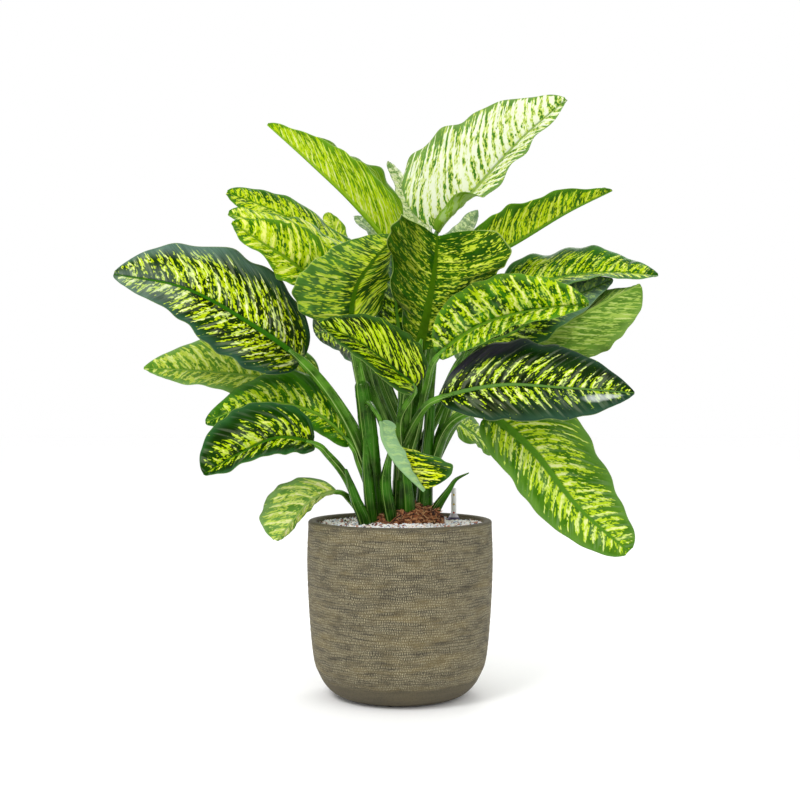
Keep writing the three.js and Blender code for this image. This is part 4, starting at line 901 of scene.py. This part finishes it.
def stoneSurface():
    material, tree = newMaterial("washedStone")
    tint = addNode(tree, "ShaderNodeAttribute", {"attribute_name": "stoneTint"})
    coords = addNode(tree, "ShaderNodeTexCoord").outputs["Object"]
    speck = addNode(tree, "ShaderNodeTexNoise", None, {0: coords, "Scale": 1 / (0.9 * mm), "Detail": 2.0})
    dusty = addNode(tree, "ShaderNodeMapRange", None, {"Value": speck, "From Min": 0.3, "From Max": 0.7, "To Max": 0.4})
    colour = addNode(tree, "ShaderNodeMix", {"data_type": "RGBA", "blend_type": "MULTIPLY"},
                     {0: dusty, 6: tint, 7: "#eae6e2"})
    bump = addNode(tree, "ShaderNodeBump", None, {"Strength": 0.5, "Distance": 0.3 * mm, "Height": speck})
    shader = addNode(tree, "ShaderNodeBsdfPrincipled", None, {"Base Color": colour, "Roughness": 0.8, "Normal": bump})
    addNode(tree, "ShaderNodeOutputMaterial", None, {"Surface": shader})
    return material


def bedSurface(name, dark, lightTone, size):
    # what lies between and under the loose pieces
    material, tree = newMaterial(name)
    coords = addNode(tree, "ShaderNodeTexCoord").outputs["Object"]
    cells = addNode(tree, "ShaderNodeTexVoronoi", None, {0: coords, "Scale": 1 / (size * mm)})
    tone = addNode(tree, "ShaderNodeMix", {"data_type": "RGBA"}, {0: cells.outputs["Color"], 6: dark, 7: lightTone})
    bump = addNode(tree, "ShaderNodeBump", {"invert": True}, {"Strength": 0.9, "Distance": 1.2 * mm, "Height": cells})
    shader = addNode(tree, "ShaderNodeBsdfPrincipled", None, {"Base Color": tone, "Roughness": 0.9, "Normal": bump})
    addNode(tree, "ShaderNodeOutputMaterial", None, {"Surface": shader})
    return material


def surfaceOf(nodeName):
    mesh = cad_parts[nodeName].data
    return BVHTree.FromPolygons([v.co.copy() for v in mesh.vertices], [p.vertices[:] for p in mesh.polygons])


def dress(nodeName, material):
    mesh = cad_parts[nodeName].data
    mesh.materials.clear()
    mesh.materials.append(material)


def stonePiece(name, places, sizes, flatness, tints, random, lumps=0.16):
    # one many-sided stone is modelled, then copied, turned and dented for each place
    bpy.ops.mesh.primitive_cube_add(size=1.25)
    stone = bpy.context.object
    bpy.ops.object.mode_set(mode="EDIT")
    bpy.ops.mesh.select_all(action="SELECT")
    bpy.ops.mesh.subdivide(number_cuts=1, smoothness=1.0)
    bpy.ops.object.mode_set(mode="OBJECT")
    corners = np.array([v.co[:] for v in stone.data.vertices])
    faces = np.array([p.vertices[:] for p in stone.data.polygons])
    bpy.data.objects.remove(stone)
    allPoints, allFaces, allTints = [], [], []
    for k, place in enumerate(places):
        turn = np.linalg.qr(random.normal(size=(3, 3)))[0]
        shape = corners * random.uniform(0.72, 1.2, 3)
        push = random.normal(size=(3, 3))
        dents = 1 + lumps * np.sin(corners @ push.T * 2.2).sum(1, keepdims=True) / 2
        body = (shape * dents) @ turn.T * sizes[k]
        body[:, 2] *= flatness
        allPoints.append(body + place)
        allFaces.append(faces + k * len(corners))
        allTints.append(np.repeat(tints[k][None], len(corners), 0))
    mesh = bpy.data.meshes.new(name)
    mesh.from_pydata(np.vstack(allPoints).tolist(), [], np.vstack(allFaces).tolist())
    layer = mesh.color_attributes.new("stoneTint", "FLOAT_COLOR", "POINT")
    layer.data.foreach_set("color", np.vstack(allTints).ravel())
    mesh.update()
    piece = bpy.data.objects.new(name, mesh)
    bpy.context.collection.objects.link(piece)
    bpy.ops.object.select_all(action="DESELECT")
    piece.select_set(True)
    bpy.context.view_layer.objects.active = piece
    bpy.ops.object.shade_smooth_by_angle(angle=math.radians(38))
    return piece


granules = dict(count=4000, reach=143.5, small=1.5, large=2.6, heap=7, heapFrom=92,
                tints=["#fbf9f8", "#ffffff", "#f0e2dc", "#c08a78", "#7c3c30", "#d4e0f0", "#646880", "#f0e8dc", "#3a2c28"],
                shares=[0.20, 0.25, 0.13, 0.09, 0.07, 0.10, 0.05, 0.06, 0.05])


def scatterStones():
    random = np.random.default_rng(23)
    beds = {name: surfaceOf(name) for name in ("granules", "root_ball", "gauge_collar", *canes)}
    places = []
    while len(places) < granules["count"]:
        turn, reach = random.uniform(0, 2 * math.pi), math.sqrt(random.uniform(0, 1)) * granules["reach"] * mm
        above = Vector((reach * math.cos(turn), reach * math.sin(turn), 0.36))
        tops = {name: tree.ray_cast(above, Vector((0, 0, -1)))[0] for name, tree in beds.items()}
        highest = max((spot.z, name) for name, spot in tops.items() if spot is not None)
        if highest[1] == "granules":
            # the stones lie heaped towards the wall, and lower round the gauge
            heap = np.clip((reach / mm - granules["heapFrom"]) / (granules["reach"] - granules["heapFrom"]), 0, 1) ** 0.7
            near = np.clip((np.hypot(above.x - 0.096, above.y - 0.079) / mm - 13) / 16, 0, 1)
            top = granules["heap"] * heap * near
            layer = top * (1 - random.uniform(0, 1) ** 2)
            places.append((above.x, above.y, highest[0] + (layer + random.uniform(-0.3, 1.1)) * mm))
    places = np.array(places)
    palette = np.array([linearColour(tint) for tint in granules["tints"]])
    chosen = random.choice(len(palette), len(places), p=granules["shares"])
    tints = palette[chosen] * np.r_[1, 1, 1, 0][None] * random.uniform(0.88, 1.0, (len(places), 1)) + np.array([0, 0, 0, 1])
    sizes = random.uniform(granules["small"], granules["large"], len(places)) * mm
    piece = stonePiece("looseStones", places, sizes, 0.85, tints, random)
    piece.data.materials.append(stoneSurface())
    return finish(piece)


dress("granules", bedSurface("stoneBed", "#4e443e", "#dcd4ce", 2.8))
scatterStones()
print("granules")

# coir: the planting ball of coconut fibre, dry, dull and rough

coir = dict(fibres=1000, chips=260, moundCentre=(50, -10, 293), moundSize=(23, 18, 25), moundLumps=2.4)


def barkSurface():
    material, tree = newMaterial("coirFibre")
    tint = addNode(tree, "ShaderNodeAttribute", {"attribute_name": "stoneTint"})
    coords = addNode(tree, "ShaderNodeTexCoord").outputs["Object"]
    speck = addNode(tree, "ShaderNodeTexNoise", None, {0: coords, "Scale": 1 / (1.6 * mm), "Detail": 2.0})
    colour = addNode(tree, "ShaderNodeMix", {"data_type": "RGBA", "blend_type": "MULTIPLY"},
                     {0: 0.4, 6: tint, 7: speck.outputs["Color"]})
    shader = addNode(tree, "ShaderNodeBsdfPrincipled", None, {"Base Color": colour, "Roughness": 0.9})
    addNode(tree, "ShaderNodeOutputMaterial", None, {"Surface": shader})
    return material


def scatterCoir():
    random = np.random.default_rng(31)
    ball = surfaceOf("root_ball")
    bpy.ops.mesh.primitive_ico_sphere_add(subdivisions=5, radius=1)
    mound = bpy.context.object
    mound.name = mound.data.name = "coirMound"
    for corner in mound.data.vertices:
        lumps = sum(math.sin(corner.co[k] * 7 + 3 * corner.co[k - 1] + k) * math.sin(corner.co[k - 2] * 11 + k) for k in range(3))
        for k in range(3):
            reach = coir["moundSize"][k] + coir["moundLumps"] * lumps
            corner.co[k] = (coir["moundCentre"][k] + corner.co[k] * reach) * mm
    mound.data.materials.append(bedSurface("coirCore", "#25140c", "#7c4c30", 3.4))
    bpy.ops.object.shade_smooth()
    finish(mound)
    heap = BVHTree.FromPolygons([v.co.copy() for v in mound.data.vertices], [p.vertices[:] for p in mound.data.polygons])
    others = [surfaceOf(name) for name in canes]
    fibreMaterial = barkSurface()

    def spots(count, spread):
        found = []
        while len(found) < count:
            turn, reach = random.uniform(0, 2 * math.pi), math.sqrt(random.uniform(0, 1)) * spread * mm
            above = Vector((0.012 + reach * math.cos(turn), 0.008 + reach * math.sin(turn), 0.36))
            tops = [tree.ray_cast(above, Vector((0, 0, -1)))[0] for tree in (ball, heap)]
            tops = [spot.z for spot in tops if spot is not None]
            if not tops or any(tree.ray_cast(above, Vector((0, 0, -1)))[0] for tree in others):
                continue
            found.append((above.x, above.y, max(tops)))
        # more lie on the steep side of the mound
        for _ in range(count // 4):
            turn, rise = random.uniform(0, 2 * math.pi), random.uniform(-0.2, 0.9)
            ring = math.sqrt(1 - rise * rise)
            aim = np.array([ring * math.cos(turn), ring * math.sin(turn), rise])
            found.append(tuple((np.array(coir["moundCentre"]) + aim * coir["moundSize"]) * mm))
        return np.array(found)

    palette = np.array([linearColour(t) for t in ("#6a3c26", "#9e603a", "#c48858", "#301a10", "#dcaa7a", "#ae744a")])
    centres = spots(coir["fibres"], 60)
    steps = np.linspace(-1, 1, 7)
    points, faces, tints = [], [], []
    for k, centre in enumerate(centres):
        turn, length = random.uniform(0, math.pi), random.uniform(7, 24) * mm
        direction = np.array([math.cos(turn), math.sin(turn), random.uniform(-0.45, 0.85)])
        side = np.array([-math.sin(turn), math.cos(turn), 0])
        arch = random.uniform(0.5, 3.2) * mm
        path = centre + steps[:, None] * direction * length / 2 + side * (steps[:, None] ** 2) * random.uniform(-3, 3) * mm
        path = path + np.array([0, 0, 1]) * (arch * (1 - steps[:, None] ** 2) + 0.4 * mm)
        thick = random.uniform(0.4, 1.5) * mm * (1.15 - np.abs(steps) ** 3)
        for corner in range(3):
            bend = 2 * math.pi * corner / 3
            points.append(path + (side * math.cos(bend) + np.array([0, 0, 1]) * math.sin(bend)) * thick[:, None])
        start = k * 21
        for j in range(6):
            for corner in range(3):
                a, b = start + corner * 7 + j, start + (corner + 1) % 3 * 7 + j
                faces.append((a, a + 1, b + 1, b))
        faces.append((start, start + 7, start + 14))
        faces.append((start + 20, start + 13, start + 6))
        tints.append(np.repeat(palette[random.integers(0, 6)][None], 21, 0))
    mesh = bpy.data.meshes.new("coirFibres")
    mesh.from_pydata(np.vstack(points).tolist(), [], faces)
    layer = mesh.color_attributes.new("stoneTint", "FLOAT_COLOR", "POINT")
    layer.data.foreach_set("color", np.vstack(tints).ravel())
    mesh.update()
    piece = bpy.data.objects.new("coirFibres", mesh)
    bpy.context.collection.objects.link(piece)
    piece.data.materials.append(fibreMaterial)
    finish(piece)

    chipSpots = spots(coir["chips"], 58) + np.array([0, 0, 1]) * 0.6 * mm
    chipTints = palette[random.integers(0, 6, len(chipSpots))]
    chipSizes = random.uniform(1.8, 5.2, len(chipSpots)) * mm
    chips = stonePiece("coirChips", chipSpots, chipSizes, 0.5, chipTints, random, 0.3)
    chips.data.materials.append(fibreMaterial)
    finish(chips)


dress("root_ball", bedSurface("coirBall", "#25140c", "#7c4c30", 3.4))
scatterCoir()
print("coir")

# water gauge: a clear tube with small dots, a moulded collar and a float


def plainPlastic(name, colourHex, roughness, low=None, high=None, lowHex=None):
    # below low it has the colour lowHex, where that is given
    material, tree = newMaterial(name)
    coords = addNode(tree, "ShaderNodeTexCoord").outputs["Object"]
    haze = addNode(tree, "ShaderNodeTexNoise", None, {0: coords, "Scale": 1 / (6 * mm), "Detail": 2.0})
    darker = [c * 0.82 for c in linearColour(colourHex)[:3]] + [1.0]
    colour = addNode(tree, "ShaderNodeMix", {"data_type": "RGBA"}, {0: haze, 6: colourHex, 7: darker})
    if lowHex:
        place = addNode(tree, "ShaderNodeSeparateXYZ", None, {0: coords})
        edge = addNode(tree, "ShaderNodeMapRange", None, {"Value": place.outputs[2], "From Min": low, "From Max": high})
        colour = addNode(tree, "ShaderNodeMix", {"data_type": "RGBA"}, {0: edge, 6: lowHex, 7: colour})
    bump = addNode(tree, "ShaderNodeBump", None, {"Strength": 0.1, "Distance": 0.2 * mm, "Height": haze})
    shader = addNode(tree, "ShaderNodeBsdfPrincipled", None,
                     {"Base Color": colour, "Roughness": roughness, "IOR": 1.46, "Normal": bump})
    addNode(tree, "ShaderNodeOutputMaterial", None, {"Surface": shader})
    return material


def clearPlastic():
    material, tree = newMaterial("clearPolystyrene")
    coords = addNode(tree, "ShaderNodeTexCoord").outputs["Object"]
    haze = addNode(tree, "ShaderNodeTexNoise", None, {0: coords, "Scale": 1 / (9 * mm), "Detail": 2.0})
    rough = addNode(tree, "ShaderNodeMapRange", None, {"Value": haze, "To Min": 0.16, "To Max": 0.34})
    shader = addNode(tree, "ShaderNodeBsdfPrincipled", None,
                     {"Base Color": "#fafafc", "Roughness": rough, "IOR": 1.45, "Transmission Weight": 0.05})
    addNode(tree, "ShaderNodeOutputMaterial", None, {"Surface": shader})
    return material


gauge = dict(x=96, y=79, dots=[(337, "#e0bc3c"), (320, "#e0bc3c"), (305, "#c83020")], dotRadius=1.7)
dress("gauge_tube", clearPlastic())
dress("gauge_collar", plainPlastic("collarPlastic", "#cfc8d6", 0.35, 0.2965, 0.2980, "#46385c"))
dress("gauge_float", plainPlastic("floatPlastic", "#c2402c", 0.4))
dotPieces = []
for height, colourHex in gauge["dots"]:
    bpy.ops.mesh.primitive_cylinder_add(vertices=20, radius=gauge["dotRadius"] * mm, depth=1.0 * mm,
                                        location=(gauge["x"] * mm, (gauge["y"] - 4.9) * mm, height * mm),
                                        rotation=(math.pi / 2, 0, 0))
    dot = bpy.context.object
    bpy.ops.object.transform_apply(location=True, rotation=True)
    soften = dot.modifiers.new("soften", "BEVEL")
    soften.width = 0.3 * mm
    soften.segments = 2
    bpy.ops.object.modifier_apply(modifier="soften")
    dot.data.materials.append(plainPlastic(f"dotPaint{height}", colourHex, 0.4))
    dotPieces.append(dot)
finish(joined(dotPieces, "gaugeDots"))
print("gauge")

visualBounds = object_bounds()
plain = lambda value: [plain(v) for v in value] if hasattr(value, "__len__") else float(value)
{"cad": plain(cadBounds), "visual": plain(visualBounds)}
